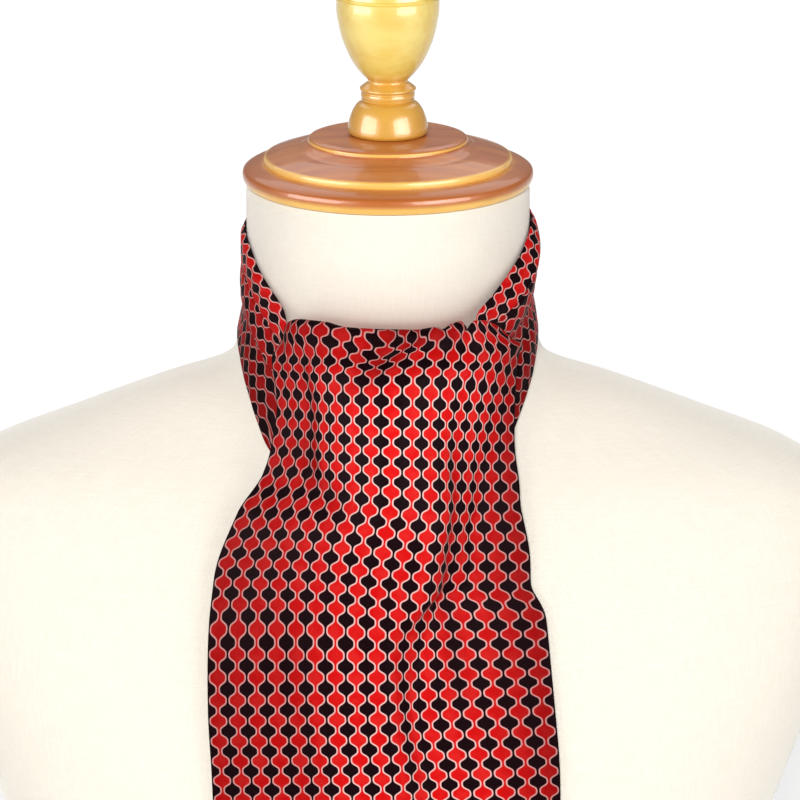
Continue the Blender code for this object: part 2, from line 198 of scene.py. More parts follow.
# The bands from the neckband to the crossing, their stages' two edges and height above
# the form
BAND_LEFT = Table("stage top_bearing top_drop low_bearing low_drop lift", (
    (0, -BAND_SEAM, 18.5, -BAND_SEAM, 62, 1.4),
    (1, -90, 18.8, -90, 66, 1.4),
    (2, -75, 22.5, -75, 73, 1.4),
    (3, -63, 31.2, -63, 84, 1.4),
    (4, -52, 39.0, -52, 96, 1.6),
    (5, -44.5, 45.0, -45, 104, 2.4),
    (6, -39.8, 53.4, -38, 110, 3.2),
    (7, -30, 55.5, -30, 118, 3.4),
    (8, -12, 60, -22, 127, 3.4),
    (9, 8, 68, -18, 135, 3.4),
    (10, 22, 80, -17, 142, 3.4),
    (11, 30, 96, -18, 150, 2.6),
    (12, 33, 114, -21, 158, 2.0),
))
BAND_RIGHT = Table("stage top_bearing top_drop low_bearing low_drop lift", (
    (0, BAND_SEAM, 14.0, BAND_SEAM, 57.5, 1.4),
    (1, 90, 14.8, 90, 63, 1.4),
    (2, 76, 19.8, 76, 71, 1.4),
    (3, 64, 26.2, 64, 82, 1.7),
    (4, 52, 33.0, 52, 94, 2.5),
    (5, 42, 39.2, 43, 104, 4.0),
    (6, 35, 44.2, 37, 110, 5.4),
    (7, 30.8, 54.0, 30, 116, 6.0),
    (8, 15, 58.5, 18, 125, 6.0),
    (9, -6, 65, 5, 131, 6.0),
    (10, -24, 76, -6, 136, 6.0),
    (11, -34, 94, -14, 139, 6.0),
))

# How the bands are pleated: the height by which the upper part stands off the neck, the
# lips of the two pleats as shares of the band's height, and how far the print's rows
# lean along the strip for each millimetre down from its top edge
PLEATS_LEFT = Table("stage flare lip_1 lip_2 lean", (
    (0, 0, 0.333, 0.667, 0.2),
    (1, 0.1, 0.31, 0.63, 0.6),
    (2, 0.2, 0.29, 0.59, 0.95),
    (3, 0.3, 0.27, 0.55, 1.0),
    (4, 0.3, 0.25, 0.52, 1.0),
    (5, 0.2, 0.235, 0.50, 0.9),
    (6, 0, 0.22, 0.48, 0.6),
    (12, 0, 0.20, 0.44, 0.3),
))
PLEATS_RIGHT = Table("stage flare lip_1 lip_2 lean", (
    (0, 0.6, 0.333, 0.667, 0.2),
    (1, 1.6, 0.27, 0.62, 0.6),
    (2, 3.6, 0.20, 0.56, 0.95),
    (3, 5.2, 0.17, 0.48, 1.0),
    (4, 5.0, 0.155, 0.44, 1.0),
    (5, 2.4, 0.15, 0.42, 1.0),
    (6, 0.2, 0.15, 0.42, 0.8),
    (11, 0, 0.15, 0.42, 0.3),
))
PLEATS_BACK = Table("stage lip_1 lip_2", ((0, 0.333, 0.667), (1, 0.333, 0.667)))

# Rows and columns of the neckband's grid that its stitching follows
SEAM_COLUMNS = (14, 44, 82)
TACK_COLUMNS = (7, 37)
TACK_ROWS = 10
TACK_ENDS = (5, 164)
SEAM_MARGIN = 2
THREAD_STANDS = 0.2         # how far a stitch's centre stands off the silk, in threads

# Soft ridges along the bands: first and last stage, how far down from the top edge they
# lie at each, height and width
LEFT_RIDGES = (
    (1.0, 4.5, 22, 30, 0.8, 4.0),
    (0.0, 5.0, 34, 46, -0.5, 5.0),
    (2.0, 6.0, 40, 52, 0.9, 6.0),
)
RIGHT_RIDGES = (
    (0.5, 4.0, 24, 20, 0.8, 4.0),
    (1.0, 5.0, 36, 34, -0.5, 5.0),
    (1.5, 6.0, 44, 50, 0.9, 6.0),
)
BACK_RIDGES = (
    (0.05, 0.4, 9, 11, 0.3, 3.0),
    (0.3, 0.8, 25, 22, 0.35, 3.0),
    (0.55, 0.95, 38, 40, 0.3, 3.5),
)

# How the print lies on each band: the stage and the distance down of a point of the
# print, its phase across and along the strip, and how fast the columns slip over the
# band's top edge, on the outer pleat and behind it
PRINT_LEFT = (3.68, 4.0, 0.0, 0.0, 0.0, 0.0)
PRINT_RIGHT = (4.24, 5.6, 0.5, 0.67, 0.34, -0.1)
BEHIND_START = PLEAT_COLUMNS - 10   # the column from which the cloth counts as behind
BEHIND_COLUMNS = 8
LEAN_REACH = 15.0           # beyond this distance from the top edge the rows lean less
LEAN_BEYOND = 0.5
BANDS = {
    "left": (BAND_LEFT, PLEATS_LEFT, LEFT_RIDGES, PRINT_LEFT),
    "right": (BAND_RIGHT, PLEATS_RIGHT, RIGHT_RIDGES, PRINT_RIGHT),
}

# The under blade's side edges, before it is cut to its point
UNDER_BLADE = Table("stage left_bearing left_drop right_bearing right_drop", (
    (0, -21.3, 158.6, 33.3, 114.6),
    (1, -30, 176, 37, 142),
    (2, -36, 198, 38.5, 176),
    (3, -38, 222, 38.5, 212),
    (4, -38, 252, 38, 250),
))
UNDER_LIFT = 2.0

# Where the front blade rolls over the crossing: bearing, and drop of the roll's top
ROLL = Table("across bearing top", (
    (-75, -39.2, 49.4),
    (-53, -34.5, 47.4),
    (-35, -23.8, 46.9),
    (-26, -15.5, 48.4),
    (-17.5, -8.5, 48.5),
    (-9, 0.0, 48.7),
    (0, 6.0, 48.9),
    (9, 11.0, 49.2),
    (18, 17.5, 48.6),
    (22, 20.8, 49.8),
    (27, 24.2, 48.0),
    (35, 27.4, 47.2),
    (44, 28.6, 48.4),
    (53, 29.2, 50.2),
    (75, 30.2, 51.0),
))
ROLL_JOIN = 13.0            # distance down over which the roll's cloth starts to hang
# Beside the roll the cloth stands up in a tuft: the places its folded edge goes through
TUFT = Table("across bearing drop", (
    (33, 27.6, 47.0),
    (44, 31.0, 46.3),
    (52.8, 34.4, 46.8),
    (61.6, 38.4, 48.8),
    (70, 42.8, 52.8),
    (75, 45.4, 55.6),
))
TUFT_START = 32.0
TUFT_EASE = 12.0            # distance across over which the tuft comes up
TUFT_DEPTH = 7.0            # how far down the tuft's cloth is shaped by its edge
TUFT_LIFT = 9.7
TUFT_SIZE = 0.8
TUFT_BEHIND = 0.3           # share of its rows that goes out to the folded edge
TUFT_TURN = 0.1             # share that goes round the edge
TUFT_TURN_STEPS = (0.32, 0.34, 0.36, 0.38)
TUFT_BEHIND_ROWS = 6
TUFT_FRONT_ROWS = 12

# The least height of the hanging blade above the form: over the crossing, and lower down
COVER = Table("bearing lift", (
    (-60, 3.4),
    (-48, 4.4),
    (-41, 5.8),
    (-36, 8.2),
    (36, 8.2),
    (46, 8.0),
    (54, 7.1),
    (62, 5.4),
))
LOWER_COVER = 4.0
COVER_CHANGE = (128.0, 160.0)       # drops between which the one passes to the other
COVER_BLEND = 1.5

# The hanging blade: how far its crown stands ahead of the neck's axis and to the side,
# what share of the cloth's width is left beside the crown where small folds gather it,
# and by how many degrees the cloth turns back on the left and the right, at these
# distances from the crown
FALL_STEPS = (0, 15, 30, 45, 60, 75)
BLADE = Table("drop crown middle left_gather right_gather"
              " l0 l1 l2 l3 l4 l5 r0 r1 r2 r3 r4 r5", (
    (50, 70.5, 2.6, 0.64, 0.84, 0, 9, 20, 31, 41, 50, 0, 9, 20, 31, 41, 50),
    (58, 76.5, 2.6, 0.69, 0.92, 4, 12, 28, 42, 46, 46, 3, 12, 26, 41, 48, 66),
    (66, 83.0, 1.9, 0.74, 0.90, 12, 20, 32, 44, 46, 46, 4, 18, 35, 43, 50, 68),
    (86, 93.5, 1.7, 0.73, 0.88, 22, 30, 40, 46, 44, 42, 14, 32, 44, 46, 50, 60),
    (112, 101, 1.6, 0.80, 0.88, 24, 30, 36, 38, 36, 34, 20, 26, 50, 60, 50, 34),
    (128, 103.5, -0.9, 0.90, 0.92, 16, 15, 26, 32, 32, 28, 12, 8, 52, 64, 36, 20),
    (155, 105.5, -4.0, 1, 1, 10, 12, 20, 26, 26, 22, 6, 10, 46, 42, 18, 14),
    (180, 107, -4.6, 1, 1, 8, 10, 15, 19, 20, 17, 4, 14, 36, 28, 13, 12),
    (210, 108.0, -4.0, 1, 1, 6, 8, 12, 15, 16, 14, 4, 18, 26, 18, 11, 11),
    (240, 108.4, -2.2, 1, 1, 5, 7, 10, 13, 13, 12, 6, 16, 18, 13, 10, 10),
    (290, 107.6, -0.6, 1, 1, 4, 6, 9, 12, 12, 11, 5, 9, 12, 11, 10, 10),
    (340, 105.6, 0, 1, 1, 3, 5, 8, 11, 11, 10, 3, 6, 9, 10, 10, 10),
))
# A valley on the viewer's right of the crown: its distance from the crown, its width and
# how many more degrees the cloth turns back in it
VALLEY = Table("drop out width turn", (
    (140, 34, 8, 0),
    (155, 29, 8, 12),
    (164, 19, 8, 34),
    (173, 12, 8, 42),
    (185, 10.5, 8, 46),
    (200, 11, 7, 46),
    (215, 11.5, 7, 40),
    (240, 12, 8, 22),
    (290, 12, 9, 0),
))
GATHER_START = 15.0         # distance from the crown at which the small folds begin
GATHER_REACH = 25.0
FALL_SLICES = 40
LEAST_SLICE = 0.001
CROWN_ROUND = 7.0           # distance from the crown over which the cloth starts to turn
HEM_START = 190.0           # drop at which the rows begin to lean towards the point

# Creases of the front blade: from (across, drop) to (across, drop), height and width
CREASES = (
    ((14, 49), (-11, 64), -4.5, 3.6),
    ((2, 47), (-20, 60), 2.2, 6.0),
    ((18, 57), (2, 74), 1.6, 5.5),
    ((26, 49), (23, 57), -2.0, 2.6),
    ((-50, 66), (-46, 112), -2.6, 6.0),
    ((34, 92), (40, 205), -2.4, 6.0),
    ((-62, 96), (-22, 122), -1.8, 6.0),
    ((20, 130), (12, 260), 1.6, 8.0),
    ((-40, 170), (-30, 290), -1.6, 8.0),
)
# How softly creases and ridges begin and end, in shares of their length
CREASE_ENDS = (0.15, 0.2)
RIDGE_ENDS = (0.2, 0.2)

# How much darker the front blade is down its length and across it
SHADE_DOWN = Table("drop shade", (
    (47, 0.42),
    (54, 0.34),
    (60, 0.22),
    (68, 0.08),
    (84, 0),
    (100, 0.04),
    (125, 0.14),
    (150, 0.2),
    (200, 0.2),
    (340, 0.1),
))
SHADE_ACROSS = Table("across shade", (
    (-75, 0.45),
    (-52, 0.33),
    (-26, 0.12),
    (-10, 0),
    (25, 0),
    (45, 0.06),
    (62, 0.34),
    (75, 0.55),
))
SHADE_FOLD = 0.09           # for each millimetre that a trough is deep
SHADE_FOLD_MOST = 0.5
# Darker places in the folds under the throat: across, drop, their two sizes and shade
SHADE_SPOTS = (
    (-3, 51, 8, 5, 0.5),
    (-11, 60, 8, 6, 0.4),
    (-17, 69, 9, 4, 0.22),
    (20, 51, 9, 4, 0.3),
)
# How much darker the bands are from their top edge down, close under a pleat's lip, and
# where they come from the neckband
SHADE_BAND = Table("share shade", (
    (0, 0.30),
    (0.14, 0.28),
    (0.3, 0.44),
    (0.6, 0.62),
    (1, 0.7),
))
SHADE_LIP = 0.7
SHADE_LIP_REACH = 2.6
SHADE_NECKBAND = 0.15
SHADE_STAGES = 2.5

# How the print's rows lie on the front blade, in millimetres along the strip: their tilt
# for each millimetre across, a tilt that dies out away from the crown, and their shift
ROWS = Table("drop tilt slip shift", (
    (64, -0.055, 0, 0),
    (76, -0.055, 0, 0),
    (86, -0.05, 0, 0.4),
    (96, -0.045, -0.02, 1.1),
    (111, -0.02, -0.09, 1.9),
    (130, 0, -0.13, 1.9),
    (156, 0, -0.13, 2.1),
    (164, 0, -0.11, 2.1),
    (173, 0, -0.07, 1.2),
    (184, 0, 0, 0.2),
    (207, 0.03, 0, -1.1),
    (240, 0.03, 0, -2.4),
))
SLIP_REACH = 24.0
# The same shift in the folds along the blade's top edge, at three drops
TOP_DROPS = (53.0, 58.0, 64.0)
TOP_ROWS = Table("across first second third", (
    (-75, 6.9, 6.2, 4.8),
    (-61.6, 6.6, 5.8, 4.1),
    (-52.8, 5.7, 4.8, 3.4),
    (-44, 5.3, 4.2, 2.6),
    (-35.2, 5.1, 4.1, 2.2),
    (-26.4, 2.9, 3.2, 2.2),
    (-17.6, -1.3, -0.6, 0.9),
    (-8.8, -6.7, -4.7, 0),
    (0, -3.7, 0.8, 0.8),
    (8.8, -1.8, 1.8, 0.4),
    (17.6, 3.2, 2.0, 0.4),
    (26.4, 2.9, 1.6, -0.3),
    (35.2, 2.2, 0.6, -0.3),
    (44, 2.0, 1.5, 0.6),
    (52.8, 2.6, 2.2, 0.6),
    (61.6, 3.6, 2.6, 0.2),
    (75, 3.6, 2.6, -0.6),
))
TOP_ROWS_EASE = 12.0        # distance below them over which the lower rows take over
TOP_SQUEEZE = 0.35          # how much closer the rows lie above the highest of them
ROW_TIP = 17.0              # degrees by which the print's rows tip down towards the back
ROW_ENDS = 60.0             # distance by which the crown's rows are carried on at its ends
PRINT_DROP = 85.8           # drop at which a red figure of the print lies on the crown

# The cravat's top edge on the neck and how strongly it shades the linen, and that shade
# by distance above the edge
COLLAR_LINE = Table("bearing drop amount", (
    (-180, 14.0, 0.4),
    (-130, 15.5, 0.4),
    (-105, 18.5, 0.4),
    (-90, 18.8, 0.4),
    (-75, 22.5, 0.4),
    (-63, 31.2, 0.4),
    (-52, 39.0, 0.4),
    (-44, 45.0, 0.45),
    (-36, 48.4, 0.45),
    (-25, 47.2, 0.75),
    (0, 48.8, 1),
    (20, 49.0, 1),
    (30, 47.2, 0.85),
    (36, 44.2, 0.7),
    (42, 39.2, 0.5),
    (52, 33.0, 0.4),
    (64, 26.2, 0.4),
    (76, 19.8, 0.4),
    (90, 14.8, 0.4),
    (105, 14.0, 0.4),
    (130, 13.5, 0.4),
    (180, 14.0, 0.4),
))
COLLAR_SHADE = Table("above shade", (
    (0, 0.62),
    (1.5, 0.46),
    (3, 0.33),
    (5, 0.26),
    (8, 0.18),
    (12, 0.11),
    (17, 0.06),
    (25, 0),
    (300, 0),
))
COLLAR_STEP = 0.85          # the distance above counts by this much
COLLAR_FADE = 12.0          # distance below the edge over which the shade dies out

# Turned profiles as runs of (radius, height above the cap's underside), top down. A run
# is one smooth curve, and runs meet in corners.
CAP_RUNS = (
    ((0, 21.4), (20, 21.4), (28, 21.1), (33, 20.6), (34.4, 20.0), (34.8, 19.2)),
    ((34.8, 19.2), (34.7, 18.5), (35.6, 17.6), (37.4, 16.9)),
    ((37.4, 16.9), (38.4, 16.3), (44, 15.0), (50, 13.3), (53.2, 12.2)),
    ((53.2, 12.2), (54.0, 11.7), (54.15, 10.9), (54.1, 9.6), (54.0, 9.2)),
    ((54.0, 9.2), (58.5, 8.4), (61.5, 7.4), (63.1, 6.2), (63.5, 4.8), (63.2, 2.8),
     (62.3, 1.0), (61.3, 0)),
    ((61.3, 0), (0, 0)),
)
FINIAL_RUNS = (
    ((0, 99), (8, 98), (14.5, 95.5), (19, 91.5), (21.5, 87), (22.3, 82.8)),
    ((22.3, 82.8), (21.7, 82.4), (21.4, 81.9), (21.7, 81.4), (22.3, 81)),
    ((22.3, 81), (22.2, 75), (21.4, 70.2), (20, 64.2), (18.2, 59.4), (15.6, 54),
     (12, 48.9), (9.4, 46.2)),
    ((9.4, 46.2), (8.8, 45.6), (8.8, 44.9), (10.2, 43.6), (12.0, 42.2)),
    ((12.0, 42.2), (12.25, 41.7), (12.1, 41.2), (11.2, 40.6)),
    ((11.2, 40.6), (11.2, 40.1), (11.6, 39.8)),
    ((11.6, 39.8), (11.75, 38.9), (11.6, 38.0)),
    ((11.6, 38.0), (11.1, 37.6), (11.5, 37.2), (11.3, 36.6), (10.8, 36.2)),
    ((10.8, 36.2), (13, 35.2), (14.8, 33), (16.2, 30), (17.1, 27), (17.5, 24.4),
     (17.3, 22.6), (16.4, 21.7)),
    ((16.4, 21.7), (0, 21.7)),
)
TURNED_STEPS = 128
TURNED_EDGE = 35.0          # degrees from which an edge of the wood is sharp
# Rings of the wood in another colour: the heights above the cap's underside between which
# each lies, the radius from which it starts, how softly it ends and its colour. The paler
# edge rings are painted highlights where the cap's edges catch the light, the cap's rim
# ring is painted shade on its lower torus, and the finial's ring is the deeper tone of its
# foot with painted shade in its grooves.
CAP_RINGS = (
    (18.7, 19.7, 34.2, 0.3, "edge"),
    (9.2, 12.2, 52.8, 0.4, "edge"),
    (3.0, 8.8, 56.0, 1.2, "cap_rim_shade"),
    (-3.0, 3.0, 56.0, 1.6, "edge"),
)
FINIAL_RINGS = ((21.0, 48.0, -1.0, 2.0, "finial_foot_and_groove_shade"),)
RING_SOFTNESS = 0.6
CAP_LACQUER = 0.3
FINIAL_LACQUER = 0.55
# The noise cells of the wood's grain and pores, to a metre each way
GRAIN_CELLS = (14, 140, 90)
PORE_CELLS = (90, 900, 700)

# Lights, floor and camera, in metres and degrees
THROAT = (0, 0, 0.36)
CAP_FRONT = (0, 0, 0.5)
SOFTBOX_SIZE = (0.5, 1.0)
SOFTBOXES = (               # name, place and share of the power
    ("softbox_left", (-0.95, -1.5, 0.75), 1.0),
    ("softbox_right", (1.05, -1.35, 0.85), 1.4),
)
WINDOW_SIZE = (1.5, 1.3)
WINDOWS = (
    ("window_left", (-1.45, -0.85, 0.8)),
    ("window_right", (1.15, -1.25, 0.8)),
)
STUDIO_BEARING = -4
STUDIO_HEIGHT = 24
STUDIO_SPREAD = 14
FLOOR_LIGHT_SIZE = (5.0, 3.4)
FLOOR_LIGHT_PLACE = (0, 2.4, 2.6)
FLOOR_LIGHT_AIM = (0, 2.4, 0)
FLOOR_SIZE = 30.0
FLOOR_DIM = (0.9, 0.9, 0.9)
CAMERA_SENSOR = 36
CAMERA_LENS = 151.4
CAMERA_DISTANCE = 1.5
CAMERA_PITCH = 17.0
CAMERA_AIM_X = 0.00525
CAMERA_AIM_DROP = 99.8      # millimetres


def mix(a, b, t):
    return a + (b - a) * t


def smooth(t):
    """Ease from 0 to 1."""
    t = np.clip(t, 0, 1)
    return t * t * (3 - 2 * t)


def soft_max(a, b, blend):
    """The larger of two sizes, rounded over where they are near each other."""
    share = np.clip(0.5 + 0.5 * (a - b) / blend, 0, 1)
    return mix(b, a, share) + blend * share * (1 - share)


def eased_ends(along, ends):
    """1 from start to end, eased off on both sides of each."""
    before, after = ends
    return (smooth((along + before) / (2 * before))
            * smooth((1 + after - along) / (2 * after)))


def form_radius(bearing, drop):
    """Distance from the neck's axis to the form's cover."""
    side = np.abs(np.sin(np.radians(bearing)))
    ahead = np.cos(np.radians(bearing))
    neck = mix(NECK.at("front", drop), NECK.at("back", drop), (1 - ahead) / 2)
    depth = np.where(ahead > 0, TORSO.at("front", drop), TORSO.at("back", drop))
    torso = ((side / TORSO.at("half_width", drop)) ** TORSO_ROUNDNESS
             + (np.abs(ahead) / depth) ** TORSO_ROUNDNESS) ** (-1 / TORSO_ROUNDNESS)
    return soft_max(neck, torso, SHOULDER_BLEND)


def place(x, y, drop):
    """Points in the part's frame, in metres."""
    return np.stack(np.broadcast_arrays(x, y, CAP_UNDERSIDE - drop), axis=-1) * MM


def round_neck(bearing, drop, radius):
    angle = np.radians(bearing)
    return place(radius * np.sin(angle), -radius * np.cos(angle), drop)


def on_form(bearing, drop, lift):
    """Points that lie a given height above the form."""
    return round_neck(bearing, drop, form_radius(bearing, drop) + lift)


def grid_mesh(name, points, layout=None, closed=False, shade=None):
    """A mesh through a grid of points, with the cloth's layout as its UV map.

    shade is how much darker the cloth is at each point, in its folds and sides.
    """
    rows, columns = points.shape[:2]
    corner = np.arange(rows * columns).reshape(rows, columns)
    if closed:
        corner = np.concatenate((corner, corner[:, :1]), axis=1)
    faces = np.stack((corner[:-1, :-1], corner[:-1, 1:], corner[1:, 1:], corner[1:, :-1]),
                     axis=-1).reshape(-1, 4)
    mesh = bpy.data.meshes.new(name)
    mesh.vertices.add(rows * columns)
    mesh.vertices.foreach_set("co", points.reshape(-1))
    mesh.loops.add(faces.size)
    mesh.loops.foreach_set("vertex_index", faces.reshape(-1))
    mesh.polygons.add(len(faces))
    mesh.polygons.foreach_set("loop_start", np.arange(len(faces)) * 4)
    mesh.update(calc_edges=True)
    if layout is not None:
        if closed:
            layout = np.concatenate((layout, layout[:, -1:] * 2 - layout[:, -2:-1]), axis=1)
        flat = np.stack((layout[:-1, :-1], layout[:-1, 1:], layout[1:, 1:], layout[1:, :-1]),
                        axis=2)
        uv = mesh.uv_layers.new(name=UV_NAME)
        uv.data.foreach_set("uv", flat.reshape(-1))
    if shade is not None:
        darker = mesh.attributes.new(SHADE_NAME, "FLOAT", "POINT")
        darker.data.foreach_set("value", np.broadcast_to(shade, points.shape[:2]).reshape(-1))
    mesh.shade_smooth()
    mesh.validate()
    return mesh


def run_lengths(points, axis):
    """Distance along a grid of points, in millimetres, starting at zero."""
    steps = np.linalg.norm(np.diff(points, axis=axis), axis=-1) / MM
    start = np.zeros_like(np.take(steps, [0], axis=axis))
    return np.concatenate((start, np.cumsum(steps, axis=axis)), axis=axis)


class Value:
    """A number in a material's nodes, so that maths on it adds Math nodes."""

    def __init__(self, shader, socket):
        self.shader = shader
        self.socket = socket

    def maths(self, operation, *others):
        return self.shader.number("ShaderNodeMath", {"operation": operation}, self, *others)

    def __add__(self, other):
        return self.maths("ADD", other)

    def __radd__(self, other):
        return self + other

    def __sub__(self, other):
        return self.maths("SUBTRACT", other)

    def __rsub__(self, other):
        return self * -1 + other

    def __mul__(self, other):
        return self.maths("MULTIPLY", other)

    def __rmul__(self, other):
        return self * other

    def __truediv__(self, other):
        return self.maths("DIVIDE", other)

    def absolute(self):
        return self.maths("ABSOLUTE")

    def part(self):
        """What is left after the whole number."""
        return self.maths("FRACT")

    def sine(self):
        return self.maths("SINE")

    def cosine(self):
        return self.maths("COSINE")

    def root(self):
        return self.maths("SQRT")

    def between(self, low, high):
        """Eases from 0 at low to 1 at high."""
        return self.shader.number(
            "ShaderNodeMapRange", {"interpolation_type": "SMOOTHSTEP"},
            self, low, high, 0.0, 1.0)


class Shader:
    """A material of one Principled shader, and what adds nodes to it."""

    def __init__(self, name, **constants):
        self.material = bpy.data.materials.new(name)
        self.material.use_nodes = True
        self.nodes = self.material.node_tree.nodes
        self.links = self.material.node_tree.links
        self.principled = self.nodes["Principled BSDF"]
        for socket, value in constants.items():
            self.principled.inputs[socket.replace("_", " ")].default_value = value

    def node(self, kind, settings=None, *inputs, **named):
        """Adds a node: its settings first, then its sockets' values or links."""
        made = self.nodes.new(kind)
        for name, value in (settings or {}).items():
            setattr(made, name, value)
        for socket, value in zip(made.inputs, inputs):
            self.feed(socket, value)
        for name, value in named.items():
            self.feed(made.inputs[name.replace("_", " ")], value)
        return made

    def feed(self, socket, value):
        """Links a socket, or sets it where the value is a plain one."""
        if isinstance(value, Value):
            self.links.new(value.socket, socket)
        elif isinstance(value, bpy.types.NodeSocket):
            self.links.new(value, socket)
        else:
            socket.default_value = value

    def number(self, kind, settings=None, *inputs, **named):
        """The first output of a new node, to do maths on."""
        return Value(self, self.node(kind, settings, *inputs, **named).outputs[0])

    def blend(self, share, first, second):
        """Mixes two colours by a share."""
        made = self.node("ShaderNodeMix", {"data_type": "RGBA"})
        self.feed(made.inputs[0], share)
        self.feed(made.inputs[6], as_colour(first))
        self.feed(made.inputs[7], as_colour(second))
        return made.outputs[2]

    def cloth_place(self):
        """The place across and along the cloth."""
        uv = self.node("ShaderNodeUVMap", {"uv_map": UV_NAME})
        split = self.node("ShaderNodeSeparateXYZ", None, uv.outputs[0])
        return Value(self, split.outputs[0]), Value(self, split.outputs[1])

    def shade(self):
        """How much darker the cloth is here, from the mesh."""
        return Value(self, self.node(
            "ShaderNodeAttribute", {"attribute_name": SHADE_NAME}).outputs["Fac"])

    def spot(self):
        """The place in the part's frame, in metres."""
        return self.node("ShaderNodeTexCoord").outputs["Object"]

    def point(self, x, y, z=0.0):
        return self.node("ShaderNodeCombineXYZ", None, x, y, z).outputs[0]

    def noise(self, vector, scale, detail=3.0, roughness=0.5):
        return self.number("ShaderNodeTexNoise", None, Vector=vector, Scale=scale,
                           Detail=detail, Roughness=roughness)

    def bump(self, height, strength, distance):
        made = self.node("ShaderNodeBump", None, Strength=strength, Distance=distance,
                         Height=height)
        self.links.new(made.outputs[0], self.principled.inputs["Normal"])

    def set(self, socket, value):
        self.feed(self.principled.inputs[socket], value)


def as_colour(value):
    """A colour as four numbers. A link stays what it is."""
    if isinstance(value, (Value, bpy.types.NodeSocket)):
        return value
    return (*tuple(value)[:3], 1)


def linear(red, green, blue):
    """A display colour, 0 to 255, as scene-linear."""
    return tuple(
        c / 12.92 if c <= 0.04045 else ((c + 0.055) / 1.055) ** 2.4
        for c in (red / 255, green / 255, blue / 255)
    )


def silk_material(settings):
    """Silk twill printed with an ogee lattice. Its UV map counts print repeats."""
    shader = Shader("Printed silk", Sheen_Weight=0.02, Sheen_Roughness=0.3,
                    Specular_IOR_Level=0.02)
    across, along = shader.cloth_place()
    # A column of red figures swells and narrows along the strip. The gap is the distance
    # from its edge, in repeats, and lean is how fast that edge runs out.
    turn = along * (2 * math.pi)
    square = 0.1            # how much fuller than a plain wave the figures' shoulders are
    swell = settings.swell / (1 - square)
    half = 0.25 + (turn.cosine() - square * (turn * 3).cosine()) * swell
    lean = (turn.sine() - 3 * square * (turn * 3).sine()) * (-2 * math.pi * swell)
    off = ((across + 0.5).part() - 0.5).absolute()
    gap = (off - half) / (1 + lean * lean).root()
    line_half = settings.line_width / settings.repeat / 2
    line_edge = 0.014
    figure_edge = 0.012
    line = 1 - gap.absolute().between(line_half - line_edge, line_half + line_edge)
    ground = gap.between(-figure_edge, figure_edge)

    place_on_cloth = shader.point(across, along)
    cloudy = shader.noise(place_on_cloth, 1.1, 2.0)
    fine = shader.noise(place_on_cloth, 14.0, 2.0, 0.6)
    red = shader.blend(cloudy.between(0.35, 0.7), settings.red, settings.red_light)
    red = shader.blend(fine.between(0.4, 0.8) * 0.25, red, settings.red_deep)
    black = shader.blend(fine.between(0.35, 0.75), settings.black, settings.black_light)
    colour = shader.blend(ground, red, black)
    shade = shader.shade()
    outline = shader.blend(shade.between(0, 0.5) * 0.6, settings.line_colour,
                           settings.line_shade)
    colour = shader.blend(line, colour, outline)
    colour = shader.blend(shade * (1 - line * 0.3), colour, settings.shade)
    shader.set("Base Color", colour)
    shader.set("Roughness", 0.46 + fine * 0.12)
    threads_per_repeat = settings.repeat / settings.twill
    twill = ((across + along) * (threads_per_repeat * 2 * math.pi)).sine()
    shader.bump(twill * 0.35 + cloudy * 1.5 + fine * 0.5, 0.12, 0.0004)
    return shader.material


def linen_material(settings):
    """Fine plain linen, its threads in the form's own layout in millimetres."""
    shader = Shader("Linen cover", Sheen_Weight=0.4, Sheen_Roughness=0.5,
                    Specular_IOR_Level=0.25)
    across, along = shader.cloth_place()
    thread = 2 * math.pi / settings.thread
    lengthwise, crosswise = 0.12, 1.4   # slubs to a millimetre
    slub_across = shader.noise(shader.point(across * lengthwise, along * crosswise), 1.0)
    slub_along = shader.noise(shader.point(across * crosswise, along * lengthwise), 1.0)
    weave = (across * thread).sine() * (along * thread).sine()
    uneven = slub_across * 0.5 + slub_along * 0.5
    colour = shader.blend(uneven.between(0.3, 0.7), settings.linen_dark, settings.linen)
    colour = shader.blend(shader.shade(), colour, settings.linen_shade)
    shader.set("Base Color", colour)
    shader.set("Roughness", 0.82 + uneven * 0.12)
    shader.bump(weave * 0.3 + uneven * 1.2, 0.25, 0.0005)
    return shader.material


def wood_material(settings, piece, lacquer, rings):
    """Lacquered turned wood with fine grain, and rings of painted highlight, painted shade and
    deeper tone.
    """
    shader = Shader(f"{piece.capitalize()} wood", Coat_Roughness=0.06,
                    Specular_IOR_Level=0.5)
    light = getattr(settings, f"{piece}_light")
    dark = getattr(settings, f"{piece}_dark")
    split = shader.node("ShaderNodeSeparateXYZ", None, shader.spot())
    x, y, z = (Value(shader, out) for out in split.outputs)
    grain_place, pore_place = (
        shader.point(*(way * cells for way, cells in zip((x, y, z), each)))
        for each in (GRAIN_CELLS, PORE_CELLS))
    grain = shader.noise(grain_place, 1.0, 5.0, 0.6)
    pores = shader.noise(pore_place, 1.0, 2.0, 0.6)
    colour = shader.blend(grain.between(0.32, 0.68), dark, light)
    colour = shader.blend(pores.between(0.62, 0.8) * 0.25, colour, dark)
    height = z * (1 / MM) - CAP_UNDERSIDE
    radius = (x * x + y * y).root() * (1 / MM)
    # Each ring lays a painted highlight, a painted shade or a deeper tone over the grain
    for low, high, inner, soft, tone in rings:
        ring = (height.between(low - soft, low + soft)
                * (1 - height.between(high - soft, high + soft))
                * radius.between(inner - RING_SOFTNESS, inner + RING_SOFTNESS))
        colour = shader.blend(ring * (0.6 + grain * 0.5), colour, getattr(settings, tone))
    shader.set("Base Color", colour)
    shader.set("Roughness", 0.30 + grain * 0.12)
    shader.set("Coat Weight", lacquer + pores * 0.2)
    shader.bump(grain * 0.4 + pores * 0.2, 0.08, 0.0004)
    return shader.material


